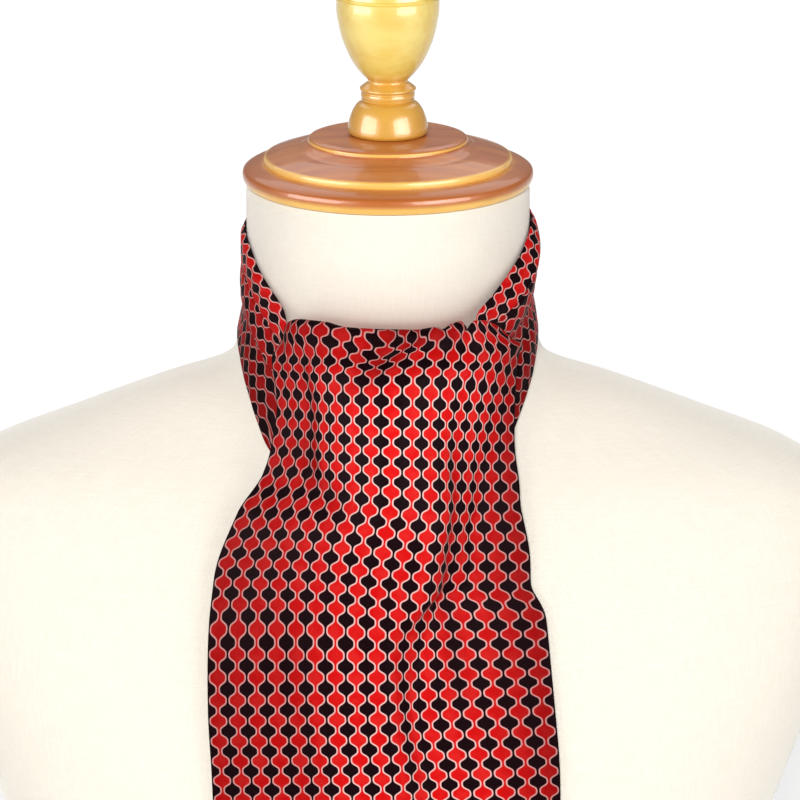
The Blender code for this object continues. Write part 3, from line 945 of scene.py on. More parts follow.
def thread_material(settings):
    """Twisted silk thread."""
    shader = Shader("Silk thread", Specular_IOR_Level=0.3)
    fine = shader.noise(shader.spot(), 4000.0, 2.0)
    dark = tuple(channel * 0.5 for channel in settings.colour)
    shader.set("Base Color", shader.blend(fine.between(0.35, 0.65), dark, settings.colour))
    shader.set("Roughness", 0.45 + fine * 0.15)
    shader.bump(fine, 0.2, 0.0001)
    return shader.material


def add_piece(mesh, material, nodes=()):
    """A finished piece on the root body, standing for the CAD nodes named."""
    piece = bpy.data.objects.new(mesh.name, mesh)
    bpy.context.scene.collection.objects.link(piece)
    mesh.materials.clear()
    mesh.materials.append(material)
    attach(piece, ROOT)
    if nodes:
        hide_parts(*nodes)
    return piece


def add_silk(mesh, node, settings, wall):
    """A sheet of the printed silk, thickened evenly to both sides."""
    silk = bpy.data.materials.get("Printed silk") or silk_material(settings)
    piece = add_piece(mesh, silk, [node])
    thickness = piece.modifiers.new("Wall", "SOLIDIFY")
    thickness.thickness = wall * MM
    thickness.offset = 0
    thickness.use_even_offset = False
    return piece


def blade_angles(drop, side, out):
    """How far the cloth turns back at distances from the crown, in radians."""
    angle = np.zeros(np.broadcast(drop, out).shape)
    last = len(FALL_STEPS) - 2
    for step in range(last + 1):
        low, high = FALL_STEPS[step], FALL_STEPS[step + 1]
        here = (out >= low) & ((out < high) | (step == last))
        share = smooth((out - low) / (high - low))
        before = BLADE.at(f"{side}{step}", drop)
        after = BLADE.at(f"{side}{step + 1}", drop)
        angle = np.where(here, mix(before, after, share), angle)
    if side == "r":
        aside = (out - VALLEY.at("out", drop)) / VALLEY.at("width", drop)
        angle = angle + VALLEY.at("turn", drop) * np.exp(-aside ** 2)
    return np.radians(angle * smooth(out / CROWN_ROUND))


def crease_height(across, drop):
    """Height of the creases above the plain blade."""
    height = np.zeros_like(drop)
    for start, end, depth, width in CREASES:
        run_across = end[0] - start[0]
        run_drop = end[1] - start[1]
        length = math.hypot(run_across, run_drop)
        along = ((across - start[0]) * run_across + (drop - start[1]) * run_drop) / length ** 2
        aside = ((across - start[0]) * run_drop - (drop - start[1]) * run_across) / length
        height += (depth * eased_ends(along, CREASE_ENDS)
                   * np.exp(-(aside / width) ** 2))
    return height


def hang(across, drop):
    """The creased blade's x and y at places across the cloth and drops."""
    slice_width = np.abs(across) / FALL_SLICES
    run = np.zeros_like(drop)
    back = np.zeros_like(drop)
    left = across < 0
    outward = np.where(left, -1, 1)
    gather = np.where(left, BLADE.at("left_gather", drop), BLADE.at("right_gather", drop))
    height = crease_height(np.zeros_like(across), drop)
    for number in range(FALL_SLICES):
        out = (number + 0.5) * slice_width
        angle = np.where(left, blade_angles(drop, "l", out), blade_angles(drop, "r", out))
        before = height
        height = crease_height(outward * (number + 1) * slice_width, drop)
        angle = angle - np.arctan((height - before) / np.maximum(slice_width, LEAST_SLICE))
        step = slice_width * mix(1, gather, smooth((out - GATHER_START) / GATHER_REACH))
        run += step * np.cos(angle)
        back += step * np.sin(angle)
    x = BLADE.at("middle", drop) + outward * run
    return x, back - BLADE.at("crown", drop) - crease_height(np.zeros_like(across), drop)


def cover_lift(bearing, drop):
    """Least height of the front blade's middle above the form."""
    start, end = COVER_CHANGE
    return mix(COVER.at("lift", bearing), LOWER_COVER, smooth((drop - start) / (end - start)))


def roll_size(across):
    """Half of the roll's height above the form's cover."""
    return (COVER.at("lift", ROLL.at("bearing", across)) - INNER_LIFT) / 2


def roll_bottom(across):
    """Drop at which the roll ends and the cloth falls."""
    return ROLL.at("top", across) + roll_size(across)


def blade_points(across, drop):
    """Points of the hanging front blade, kept clear of what lies under it."""
    x, y = hang(across, drop)
    roll_bearing = ROLL.at("bearing", across)
    roll_radius = form_radius(roll_bearing, drop) + cover_lift(roll_bearing, drop)
    angle = np.radians(roll_bearing)
    join = mix(ROLL_JOIN, TUFT_DEPTH, tuft_share(across))
    share = smooth((drop - roll_bottom(across)) / join)
    x = mix(roll_radius * np.sin(angle), x, share)
    y = mix(-roll_radius * np.cos(angle), y, share)
    bearing = np.degrees(np.arctan2(x, -y))
    least = form_radius(bearing, drop) + cover_lift(bearing, drop)
    return round_neck(bearing, drop, soft_max(np.hypot(x, y), least, COVER_BLEND))


def tuft_share(across):
    """1 in the tuft, and 0 where the roll's cloth falls plainly."""
    return smooth((across - TUFT_START) / TUFT_EASE)


def tuft_points(across, part):
    """Rows from the roll down to the hanging cloth, folded over in the tuft.

    part is each row's share of the way: first out to the folded edge behind the tuft,
    then round it, and the rest down in front.
    """
    start = blade_points(across, roll_bottom(across) + 0 * part)
    end = blade_points(across, roll_bottom(across) + TUFT_DEPTH + 0 * part)
    plain = blade_points(across, roll_bottom(across) + TUFT_DEPTH * part)
    turn = math.pi * np.clip((part - TUFT_BEHIND) / TUFT_TURN, 0, 1)
    edge = on_form(TUFT.at("bearing", across), TUFT.at("drop", across)
                   + TUFT_SIZE * (1 - np.sin(turn)), TUFT_LIFT - TUFT_SIZE * np.cos(turn))
    turned = TUFT_BEHIND + TUFT_TURN
    behind = smooth(part / TUFT_BEHIND)[..., None]
    front = np.clip((part - turned) / (1 - turned), 0, 1)[..., None]
    folded = mix(mix(start, edge, behind), end, front)
    return mix(plain, folded, tuft_share(across)[..., None])


def blade_shade(across, drop):
    """How much darker the front blade is, in its folds and down its sides."""
    depth = np.maximum(-crease_height(across + 0 * drop, drop), 0)
    lit = ((1 - SHADE_DOWN.at("shade", drop)) * (1 - SHADE_ACROSS.at("shade", across))
           * (1 - np.minimum(SHADE_FOLD * depth, SHADE_FOLD_MOST)))
    for spot_across, spot_drop, wide, high, amount in SHADE_SPOTS:
        lit *= 1 - amount * np.exp(-((across - spot_across) / wide) ** 2
                                   - ((drop - spot_drop) / high) ** 2)
    return 1 - lit


def carried_back(values, rows):
    """The values, with those of the first row also for a number of rows before it."""
    return np.concatenate((np.repeat(values[:1], rows, axis=0), values), axis=0)


def front_blade_mesh(settings):
    """Up behind the crossing, over its top edge and down in front to a point."""
    across = np.linspace(-HALF_STRIP, HALF_STRIP, BLADE_COLUMNS)[None, :]
    bearing = ROLL.at("bearing", across)
    size = roll_size(across)
    bottom = roll_bottom(across)
    rise = np.linspace(0, 1, TUCK_ROWS)[:-1, None]
    tucked = on_form(bearing, mix(TUCK_BOTTOM, bottom, rise), INNER_LIFT)
    turn = np.linspace(0, math.pi, ROLL_ROWS)[:-1, None]
    radius = form_radius(bearing, bottom) + INNER_LIFT + size * (1 - np.cos(turn))
    rolled = round_neck(bearing, bottom - size * np.sin(turn), radius)
    part = np.concatenate((
        np.linspace(0, TUFT_BEHIND, TUFT_BEHIND_ROWS),
        TUFT_TURN_STEPS,
        np.linspace(TUFT_BEHIND + TUFT_TURN, 1, TUFT_FRONT_ROWS)[:-1],
    ))[:, None]
    tuft = tuft_points(across, part)
    fall = np.linspace(0, 1, HANGING_ROWS)[:, None] ** HANGING_CROWDING
    hem = FRONT_TIP - np.abs(across)
    level = mix(bottom + TUFT_DEPTH, FRONT_TIP, fall)
    pointed = mix(bottom + TUFT_DEPTH, hem, fall)
    share = smooth((level - HEM_START) / (FRONT_TIP - HEM_START))
    drop = mix(level, pointed, share)
    hanging = blade_points(np.broadcast_to(across, drop.shape), drop)
    points = np.concatenate((tucked, rolled, tuft, hanging), axis=0)
    behind = len(tucked) + len(rolled)
    drop = np.concatenate((bottom + TUFT_DEPTH * part, drop), axis=0)
    along = print_rows(points, behind, behind + len(tuft), across)
    along += carried_back(row_shift(across, drop), behind)
    layout = np.stack((np.broadcast_to(across, along.shape), along), axis=-1)
    return grid_mesh("front_blade_silk", points, layout / settings.repeat,
                     shade=carried_back(blade_shade(across, drop), behind))


def row_shift(across, drop):
    """How far the print's rows lie from their planes on the front blade."""
    lower = (ROWS.at("tilt", drop) * across + ROWS.at("shift", drop)
             + ROWS.at("slip", drop) * SLIP_REACH * np.tanh(across / SLIP_REACH))
    first, second, third = TOP_DROPS
    upper = mix(TOP_ROWS.at("first", across), TOP_ROWS.at("second", across),
                np.clip((drop - first) / (second - first), 0, 1))
    upper = mix(upper, TOP_ROWS.at("third", across),
                np.clip((drop - second) / (third - second), 0, 1))
    upper = upper - TOP_SQUEEZE * np.maximum(first - drop, 0)
    return mix(upper, lower, smooth((drop - third) / TOP_ROWS_EASE))


def print_rows(points, fold_row, hanging_row, across):
    """Distance along the strip of the print's rows on the front blade.

    Each row keeps to a plane that tips down towards the back, and is as far from the
    next as the cloth of the crown has it. Behind the fold, and in the cloth beside it,
    they follow the cloth.
    """
    tip = math.radians(ROW_TIP)
    drop = CAP_UNDERSIDE - points[..., 2] / MM
    level = drop * math.cos(tip) - points[..., 1] / MM * math.sin(tip)
    middle = points.shape[1] // 2
    crown_level = level[fold_row:, middle]
    crown_run = run_lengths(points[fold_row:, middle:middle + 1], 0)[:, 0]
    crown_run = crown_run - np.interp(PRINT_DROP, drop[fold_row:, middle], crown_run)
    crown_level, crown_run = (
        np.concatenate(([values[0] - ROW_ENDS], values, [values[-1] + ROW_ENDS]))
        for values in (crown_level, crown_run))
    rows = np.interp(level, crown_level, crown_run)
    behind = run_lengths(points[:hanging_row + 1], 0)
    followed = rows[hanging_row] + behind - behind[hanging_row]
    rows[fold_row:hanging_row + 1] = mix(
        rows[fold_row:hanging_row + 1], followed[fold_row:], tuft_share(np.abs(across)))
    rows[:fold_row] = rows[fold_row] + behind[:fold_row] - behind[fold_row]
    return rows


def pleat_section(height, lips, base):
    """Rows across a band with two knife pleats, from its top edge down.

    Gives how far down each point lies and its lift, a row for each height of the band.
    """
    edge = LAYER / 2
    down = []
    lift = []
    start = np.zeros_like(height)
    for lip in lips:
        back = np.minimum(UNDERLAY, UNDERLAY_SHARE * (lip - start))
        for t in np.linspace(0, 1, PLEAT_POINTS):
            down.append(mix(start, lip, t))
            lift.append(base + 2 * LAYER * smooth(t / PLEAT_EASE))
        for turn in TURN_STEPS:
            down.append(lip + edge * math.sin(math.pi * turn))
            lift.append(base + 1.5 * LAYER + edge * math.cos(math.pi * turn))
        for t in UNDERLAY_STEPS:
            down.append(lip - back * t)
            lift.append(base + LAYER)
        for turn in TURN_STEPS:
            down.append(lip - back - edge * math.sin(math.pi * turn))
            lift.append(base + 0.5 * LAYER + edge * math.cos(math.pi * turn))
        for t in UNDERLAY_STEPS[:-1]:
            down.append(lip - back * (1 - t))
            lift.append(base)
        start = lip
    for t in np.linspace(0, 1, LAST_POINTS):
        down.append(mix(start, height, t))
        lift.append(base + LAST_RISE * LAYER * smooth(t / LAST_EASE))
    return np.stack(down, axis=-1), np.stack(lift, axis=-1)


def band_ridges(ridges, stage, down):
    """Height of the soft ridges and troughs that run along a band."""
    height = np.zeros_like(down)
    for start, end, start_down, end_down, rise, width in ridges:
        along = (stage - start) / (end - start)
        aside = down - mix(start_down, end_down, np.clip(along, 0, 1))
        height += rise * eased_ends(along, RIDGE_ENDS) * np.exp(-(aside / width) ** 2)
    return height


def band_grid(side, settings):
    """Half of the strip from the neckband to the crossing, its pleats opening out.

    Gives its points, their place on the print and their shade.
    """
    table, pleats, ridges, print_place = BANDS[side]
    anchor_stage, anchor_down, across_phase, along_phase, *slide = print_place
    stage = np.linspace(0, table.station[-1], BAND_ROWS)
    way = math.copysign(1, table.at("top_bearing", 0))
    inset = way * SEAM_GAP / 2 * (1 - smooth(stage))
    top = table.at("top_drop", stage)
    height = table.at("low_drop", stage) - top
    lips = [pleats.at(lip, stage) * height for lip in ("lip_1", "lip_2")]
    down, lift = pleat_section(height, lips, table.at("lift", stage) - INNER_LAYER)
    share = down / height[:, None]
    lift += (pleats.at("flare", stage)[:, None] * smooth(share / FLARE_RISE)
             * smooth((FLARE_END - share) / FLARE_FADE))
    lift += band_ridges(ridges, stage[:, None], down)
    bearing = mix(table.at("top_bearing", stage)[:, None],
                  table.at("low_bearing", stage)[:, None], share) - inset[:, None]
    points = on_form(bearing, top[:, None] + down, lift)
    edge_run = run_lengths(points[:, :1], 0)
    reach = np.where(down < LEAN_REACH, down,
                     LEAN_REACH + (down - LEAN_REACH) * LEAN_BEYOND)
    column = np.arange(points.shape[1])
    behind = smooth((column - BEHIND_START) / BEHIND_COLUMNS)
    across = run_lengths(points, 1) - mix(*slide, behind) * edge_run
    along = edge_run + pleats.at("lean", stage)[:, None] * reach
    row = int(np.argmin(np.abs(stage - anchor_stage)))
    start = int(np.argmin(np.abs(down[row, :PLEAT_POINTS] - anchor_down)))
    layout = np.stack((
        (across - across[row, start]) / settings.repeat + across_phase,
        (along - along[row, start]) / settings.repeat + along_phase,
    ), axis=-1)
    lit = 1 - SHADE_BAND.at("shade", share)
    for number, lip in enumerate(lips, 1):
        past = np.maximum(down - lip[:, None], 0)
        lit *= 1 - np.where(column >= number * PLEAT_COLUMNS,
                            SHADE_LIP * np.exp(-(past / SHADE_LIP_REACH) ** 2), 0)
    lit = mix(1 - SHADE_NECKBAND, lit, smooth(stage / SHADE_STAGES)[:, None])
    return points, layout, 1 - lit


def neckband_grid():
    """Bearings along the neckband, and its rows' drops and lifts from top to bottom."""
    stage = np.linspace(0, 1, BAND_ROWS)
    bearing = mix(BAND_SEAM + SEAM_GAP / 2, 360 - BAND_SEAM - SEAM_GAP / 2, stage)
    top = NECKBAND.at("top", bearing)
    height = NECKBAND.at("bottom", bearing) - top
    lips = [PLEATS_BACK.at(lip, stage) * height for lip in ("lip_1", "lip_2")]
    down, lift = pleat_section(height, lips, np.full_like(stage, NECKBAND_LIFT))
    lift += band_ridges(BACK_RIDGES, stage[:, None], down)
    return bearing[:, None], top[:, None] + down, lift


def neckband_mesh(settings):
    """The pleated middle of the strip, round the back of the neck.

    The print runs on from one band to the other, drawn in or out a little to meet both.
    """
    points = on_form(*neckband_grid())
    right_across, right_along = band_grid("right", settings)[1][0, 0]
    left_across, left_along = band_grid("left", settings)[1][0, 0]
    run = run_lengths(points[:, :1], 0)
    share = run / run[-1]
    length = run[-1] / settings.repeat
    length += (right_along + left_along - length + 0.5) % 1 - 0.5
    drift = (left_across - right_across + 0.5) % 1 - 0.5
    across = run_lengths(points, 1) / settings.repeat + right_across + drift * share
    along = np.broadcast_to(right_along - length * share, across.shape)
    return grid_mesh("neckband_silk", points, np.stack((across, along), axis=-1),
                     shade=SHADE_NECKBAND)


def thread_grid(thread):
    """The neckband's grid, lifted to where the thread lies on the silk."""
    bearing, drop, lift = neckband_grid()
    return bearing, drop, lift + PLEAT_WALL / 2 + thread * THREAD_STANDS


def seam_lines(thread):
    """The neckband's rows of stitching, just above each pleat's lip and its lower edge."""
    bearing, drop, lift = thread_grid(thread)
    inner = slice(SEAM_MARGIN, -SEAM_MARGIN)
    return [on_form(bearing[inner, 0], drop[inner, column], lift[inner, column])
            for column in SEAM_COLUMNS]


def tack_lines(thread):
    """Short lines across each pleat at both ends of the neckband."""
    bearing, drop, lift = thread_grid(thread)
    return [on_form(bearing[row], drop[row, start:start + TACK_ROWS],
                    lift[row, start:start + TACK_ROWS])
            for row in TACK_ENDS for start in TACK_COLUMNS]


def stitch_tree():
    """Nodes that lay a stitch of thread at even steps along every line of a mesh."""
    tree = bpy.data.node_groups.new("Stitches", "GeometryNodeTree")
    nodes, links = tree.nodes, tree.links
    tree.interface.new_socket("Stitches", in_out="OUTPUT", socket_type="NodeSocketGeometry")
    for name, kind in (("Lines", "Geometry"), ("Pitch", "Float"), ("Length", "Float"),
                       ("Thread", "Float"), ("Turn", "Float"), ("Uneven", "Float"),
                       ("Seed", "Int"), ("Material", "Material")):
        tree.interface.new_socket(name, in_out="INPUT", socket_type=f"NodeSocket{kind}")
    given = nodes.new("NodeGroupInput").outputs

    def node(kind, settings=None, **inputs):
        made = nodes.new(kind)
        for name, value in (settings or {}).items():
            setattr(made, name, value)
        for name, value in inputs.items():
            socket = made.inputs[int(name[1:])] if name[0] == "_" else made.inputs[name]
            if isinstance(value, bpy.types.NodeSocket):
                links.new(value, socket)
            else:
                socket.default_value = value
        return made.outputs

    def vector_maths(operation, *values, **named):
        given_values = {f"_{number}": value for number, value in enumerate(values)}
        return node("ShaderNodeVectorMath", {"operation": operation},
                    **given_values, **named)[0]

    def maths(operation, *values):
        given_values = {f"_{number}": value for number, value in enumerate(values)}
        return node("ShaderNodeMath", {"operation": operation}, **given_values)[0]

    curve = node("GeometryNodeMeshToCurve", Mesh=given["Lines"])[0]
    steps = node("GeometryNodeResampleCurve", {"mode": "LENGTH"}, Curve=curve,
                 Length=given["Pitch"])[0]
    points = node("GeometryNodeCurveToPoints", {"mode": "EVALUATED"}, Curve=steps)
    out = vector_maths("MULTIPLY", node("GeometryNodeInputPosition")[0], (1.0, 1.0, 0.0))
    aside = vector_maths("NORMALIZE", vector_maths("CROSS_PRODUCT", points["Tangent"], out))
    run = vector_maths("SCALE", points["Tangent"], Scale=maths("COSINE", given["Turn"]))
    lean = vector_maths("SCALE", aside, Scale=maths("SINE", given["Turn"]))
    random = node("FunctionNodeRandomValue", {"data_type": "FLOAT_VECTOR"},
                  _0=(-1.0, -1.0, -1.0), _1=(1.0, 1.0, 1.0), Seed=given["Seed"])[0]
    stray = vector_maths("SCALE", random, Scale=given["Uneven"])
    heading = vector_maths("ADD", vector_maths("ADD", run, lean), stray)
    turn = node("FunctionNodeAlignRotationToVector", {"axis": "X"}, Vector=heading)[0]
    ball = node("GeometryNodeMeshUVSphere", Segments=8, Rings=6, Radius=0.5)["Mesh"]
    size = node("ShaderNodeCombineXYZ", X=given["Length"], Y=given["Thread"],
                Z=given["Thread"])[0]
    stitches = node("GeometryNodeInstanceOnPoints", Points=points["Points"],
                    Instance=ball, Rotation=turn, Scale=size)[0]
    whole = node("GeometryNodeRealizeInstances", Geometry=stitches)[0]
    smooth_whole = node("GeometryNodeSetShadeSmooth", Geometry=whole)[0]
    finished = node("GeometryNodeSetMaterial", Geometry=smooth_whole,
                    Material=given["Material"])[0]
    links.new(finished, nodes.new("NodeGroupOutput").inputs[0])
    return tree


def plain_result(working, name):
    """The mesh that an object's modifiers make. The object itself is taken away."""
    graph = bpy.context.evaluated_depsgraph_get()
    result = bpy.data.meshes.new_from_object(working.evaluated_get(graph))
    source = working.data
    bpy.data.objects.remove(working)
    bpy.data.meshes.remove(source)
    result.name = name
    return result


def stitched_mesh(name, lines, tree, values):
    """A mesh of stitches along lines of points."""
    mesh = bpy.data.meshes.new(name + "_lines")
    corners = np.concatenate(lines)
    edges = []
    for line in lines:
        start = edges[-1][1] + 1 if edges else 0
        edges += [(start + step, start + step + 1) for step in range(len(line) - 1)]
    mesh.from_pydata(corners.tolist(), edges, [])
    working = bpy.data.objects.new(name + "_lines", mesh)
    bpy.context.scene.collection.objects.link(working)
    modifier = working.modifiers.new("Stitches", "NODES")
    modifier.node_group = tree
    sockets = {socket.name: socket.identifier for socket in tree.interface.items_tree
               if socket.in_out == "INPUT"}
    for label, value in values.items():
        modifier[sockets[label]] = value
    return plain_result(working, name)


def under_blade_mesh(settings):
    """The lower end, flat on the chest, from the crossing to its point."""
    across = np.linspace(0, 1, UNDER_COLUMNS)[None, :]
    stage = np.linspace(0, UNDER_BLADE.station[-1], UNDER_ROWS)[:, None]
    bearing = mix(UNDER_BLADE.at("left_bearing", stage),
                  UNDER_BLADE.at("right_bearing", stage), across)
    drop = mix(UNDER_BLADE.at("left_drop", stage), UNDER_BLADE.at("right_drop", stage), across)
    end = np.linspace(0, 1, UNDER_POINT_ROWS)[1:, None]
    end_drop = mix(drop[-1:], mix(UNDER_TIP, drop[-1:], np.abs(2 * across - 1)), end)
    bearing = np.concatenate((bearing, np.broadcast_to(bearing[-1:], end_drop.shape)), axis=0)
    drop = np.concatenate((drop, end_drop), axis=0)
    points = on_form(bearing, drop, UNDER_LIFT)
    along = run_lengths(points, 0)
    wide = np.broadcast_to(mix(-HALF_STRIP, HALF_STRIP, across), along.shape)
    layout = np.stack((wide, along), axis=-1) / settings.repeat
    return grid_mesh("under_blade_silk", points, layout)


def form_mesh():
    """The dress form's cover, closed on top and underneath."""
    turn = np.arange(FORM_COLUMNS) * (2 * math.pi / FORM_COLUMNS)
    bearing = np.degrees(turn + FORM_CROWDING * np.sin(2 * turn))[None, :]
    drops = list(TOP_RINGS)
    while drops[-1] < CAP_UNDERSIDE - BASE_RINGS[0] - FORM_RING_STEP:
        drops.append(drops[-1] + (
            NECK_RING_STEP if drops[-1] < NECK_RINGS_END else FORM_RING_STEP))
    drops += [CAP_UNDERSIDE - height for height in BASE_RINGS]
    drop = np.array(drops)[:, None]
    radius = form_radius(bearing, drop)
    points = round_neck(bearing, drop, radius)
    across = np.broadcast_to(np.degrees(turn)[None, :] * LINEN_PER_DEGREE, radius.shape)
    layout = np.stack((across, np.broadcast_to(drop, radius.shape)), axis=-1)
    turned = (bearing + 180) % 360 - 180
    above = (COLLAR_LINE.at("drop", turned) - drop) * COLLAR_STEP
    shade = COLLAR_LINE.at("amount", turned) * np.where(
        above > 0, COLLAR_SHADE.at("shade", above),
        COLLAR_SHADE.at("shade", 0) * np.exp(above / COLLAR_FADE))
    mesh = grid_mesh("form_cover", points, layout, closed=True, shade=shade)
    bm = bmesh.new()
    bm.from_mesh(mesh)
    rims = [edge for edge in bm.edges if edge.is_boundary]
    bmesh.ops.holes_fill(bm, edges=rims, sides=0)
    bmesh.ops.recalc_face_normals(bm, faces=bm.faces)
    bm.to_mesh(mesh)
    bm.free()
    mesh.set_sharp_from_angle(angle=math.radians(FORM_EDGE))
    return mesh


def smooth_run(run, step=0.5):
    """Points along a smooth curve through the points of a run."""
    points = np.array(run, float)
    if len(points) < 3:
        return points
    gaps = np.linalg.norm(np.diff(points, axis=0), axis=1)
    knots = np.concatenate(([0], np.cumsum(gaps)))
    slopes = np.gradient(points, knots, axis=0)
    out = []
    for number, gap in enumerate(gaps):
        for t in np.linspace(0, 1, max(2, int(gap / step) + 1), endpoint=False):
            start, end = points[number], points[number + 1]
            a, b = slopes[number] * gap, slopes[number + 1] * gap
            rise = end - start
            out.append(start + t * a + t * t * (3 * rise - 2 * a - b)
                       + t ** 3 * (a + b - 2 * rise))
    out.append(points[-1])
    return np.array(out)


def turned_mesh(name, runs):
    """A piece turned from its runs round the neck's axis."""
    profile = [smooth_run(run) for run in runs]
    points = np.concatenate([profile[0]] + [run[1:] for run in profile[1:]])
    points[:, 0] = np.maximum(points[:, 0], 0)
    bm = bmesh.new()
    corners = [bm.verts.new(place(radius, 0.0, -height)) for radius, height in points]
    for upper, lower in zip(corners, corners[1:]):
        bm.edges.new((upper, lower))
    mesh = bpy.data.meshes.new(name)
    bm.to_mesh(mesh)
    bm.free()
    turning = bpy.data.objects.new(name + "_turning", mesh)
    bpy.context.scene.collection.objects.link(turning)
    screw = turning.modifiers.new("Turning", "SCREW")
    screw.steps = TURNED_STEPS
    screw.render_steps = TURNED_STEPS
    screw.use_merge_vertices = True
    screw.merge_threshold = 0.01 * MM
    result = plain_result(turning, name)
    result.shade_smooth()
    result.set_sharp_from_angle(angle=math.radians(TURNED_EDGE))
    return result


def colour_property(name, description, colour):
    return bpy.props.FloatVectorProperty(
        name=name, description=description, subtype="COLOR", size=3, min=0, max=1,
        default=colour)


def size_property(name, description, default, low, high):
    """A size in millimetres."""
    return bpy.props.FloatProperty(
        name=name, description=f"{description}, in millimetres", default=default,
        min=low, max=high)


def power_property(name, description, default):
    return bpy.props.FloatProperty(
        name=name, description=description, default=default, unit="POWER")


class SilkSettings(bpy.types.PropertyGroup):
    """The strip of silk and its print"""

    wall: size_property("Wall", "Thickness of the doubled silk", 0.9, 0.3, 1.4)
    repeat: size_property("Repeat", "Width and height of one print repeat", 8.8, 4, 20)
    swell: bpy.props.FloatProperty(
        name="Swell", description="How far a column of the print swells, in repeats",
        default=0.17, min=0.05, max=0.2)
    line_width: size_property("Outline", "Width of the print's pale outline", 0.6, 0.2, 2)
    twill: size_property("Twill", "Distance between the twill's ribs", 0.55, 0.2, 2)
    red: colour_property("Red", "Printed red", linear(213, 16, 16))
    red_light: colour_property("Light red", "Red where the silk is paler",
                               linear(222, 36, 33))
    red_deep: colour_property("Deep red", "Red in the weave's hollows", linear(180, 5, 9))
    black: colour_property("Black", "Printed black", linear(14, 3, 7))
    black_light: colour_property("Worn black", "Black where the silk is paler",
                                 linear(31, 12, 16))
    line_colour: colour_property("Outline colour", "Pale outline", linear(232, 191, 184))
    line_shade: colour_property("Outline in shade", "Pale outline in the folds' shade",
                                linear(222, 126, 124))
    shade: colour_property("Shade", "Colour of the folds' shade", linear(14, 0, 2))


class StitchSettings(bpy.types.PropertyGroup):
    """The neckband's stitching"""

    pitch: size_property("Pitch", "Distance from stitch to stitch", 2.6, 1, 8)
    length: size_property("Stitch", "Length of a stitch", 2.0, 0.5, 6)
    thread: size_property("Thread", "Thickness of the thread", 0.34, 0.1, 1)
    tack_pitch: size_property("Tack pitch", "Distance between a bar tack's stitches",
                              0.6, 0.2, 2)
    tack_width: size_property("Tack width", "Width of a bar tack", 1.9, 0.5, 5)
    tack_turn: bpy.props.FloatProperty(
        name="Tack turn", description="Turn of a bar tack's stitches across its line",
        default=math.radians(78), subtype="ANGLE")
    uneven: bpy.props.FloatProperty(
        name="Unevenness", description="How far a stitch strays from its direction",
        default=0.05, min=0, max=0.5, subtype="FACTOR")
    seed: bpy.props.IntProperty(
        name="Seed", description="Seed of the stitches' unevenness", default=5)
    colour: colour_property("Thread colour", "Silk thread", linear(122, 14, 18))


class FormSettings(bpy.types.PropertyGroup):
    """The dress form's cover and wood"""

    thread: size_property("Thread", "Distance between the linen's threads", 0.7, 0.2, 3)
    linen: colour_property("Linen", "Linen cover", linear(230, 223, 210))
    linen_dark: colour_property("Dark linen", "Linen between its threads",
                                linear(224, 216, 202))
    linen_shade: colour_property("Shaded linen", "Linen close to the silk",
                                 linear(130, 34, 14))
    cap_light: colour_property("Cap", "Cap's wood", linear(196, 118, 54))
    cap_dark: colour_property("Cap grain", "Grain of the cap's wood", linear(174, 92, 34))
    # Painted shade on the cap's lower torus, which is darker than its top
    cap_rim_shade: colour_property("Cap rim", "Cap's wood round its rim", linear(174, 90, 16))
    # Painted highlight: the paler colour on the cap's edges where they catch the light
    edge: colour_property("Edges", "Cap's wood where an edge is paler",
                          linear(248, 198, 96))
    finial_light: colour_property("Finial", "Finial's wood", linear(229, 206, 112))
    finial_dark: colour_property("Finial grain", "Grain of the finial's wood",
                                 linear(220, 184, 82))
    # The deeper tone of the finial's foot, with painted shade in its grooves
    finial_foot_and_groove_shade: colour_property("Finial base", "Finial's wood round its foot",
                                 linear(208, 148, 46))


class StageSettings(bpy.types.PropertyGroup):
    """Floor, lights and camera"""

    floor: colour_property("Floor", "Pale floor", linear(250, 250, 250))
    key: power_property("Softboxes", "Power of the left softbox", 3)
    window: power_property("Windows", "Power of each window that shows in the lacquer", 52)
    floor_light: power_property("Floor light", "Power of the light over the floor behind",
                                70)
    studio: bpy.props.FloatProperty(
        name="Studio light", description="Strength of the even light from above",
        default=2.5, min=0, max=10)
    sky: bpy.props.FloatProperty(
        name="Surroundings", description="Brightness of the surroundings", default=0.26,
        min=0, max=3)


class FrontBladeOperator(bpy.types.Operator):
    """Make the front blade, with its roll over the crossing"""

    bl_idname = "cravat.front_blade"
    bl_label = "Front blade"

    def execute(self, context):
        silk = context.scene.cravat_silk
        piece = add_silk(front_blade_mesh(silk), "front_blade", silk, silk.wall)
        return {"FINISHED"}


class UnderBladeOperator(bpy.types.Operator):
    """Make the under blade, flat on the chest"""

    bl_idname = "cravat.under_blade"
    bl_label = "Under blade"

    def execute(self, context):
        silk = context.scene.cravat_silk
        piece = add_silk(under_blade_mesh(silk), "under_blade", silk, silk.wall)
        return {"FINISHED"}


class BandsOperator(bpy.types.Operator):
    """Make the two bands from the neckband to the crossing"""

    bl_idname = "cravat.bands"
    bl_label = "Bands"

    def execute(self, context):
        silk = context.scene.cravat_silk
        for side, flat in (("left", (0.110, 0.170)), ("right", (0.110, 0.155))):
            node = f"band_{side}"
            points, layout, shade = band_grid(side, silk)
            mesh = grid_mesh(f"{node}_silk", points, layout, shade=shade)
            piece = add_silk(mesh, node, silk, PLEAT_WALL)
        return {"FINISHED"}


class NeckbandOperator(bpy.types.Operator):
    """Make the pleated neckband"""

    bl_idname = "cravat.neckband"
    bl_label = "Neckband"

    def execute(self, context):
        silk = context.scene.cravat_silk
        piece = add_silk(neckband_mesh(silk), "neckband", silk, PLEAT_WALL)
        return {"FINISHED"}


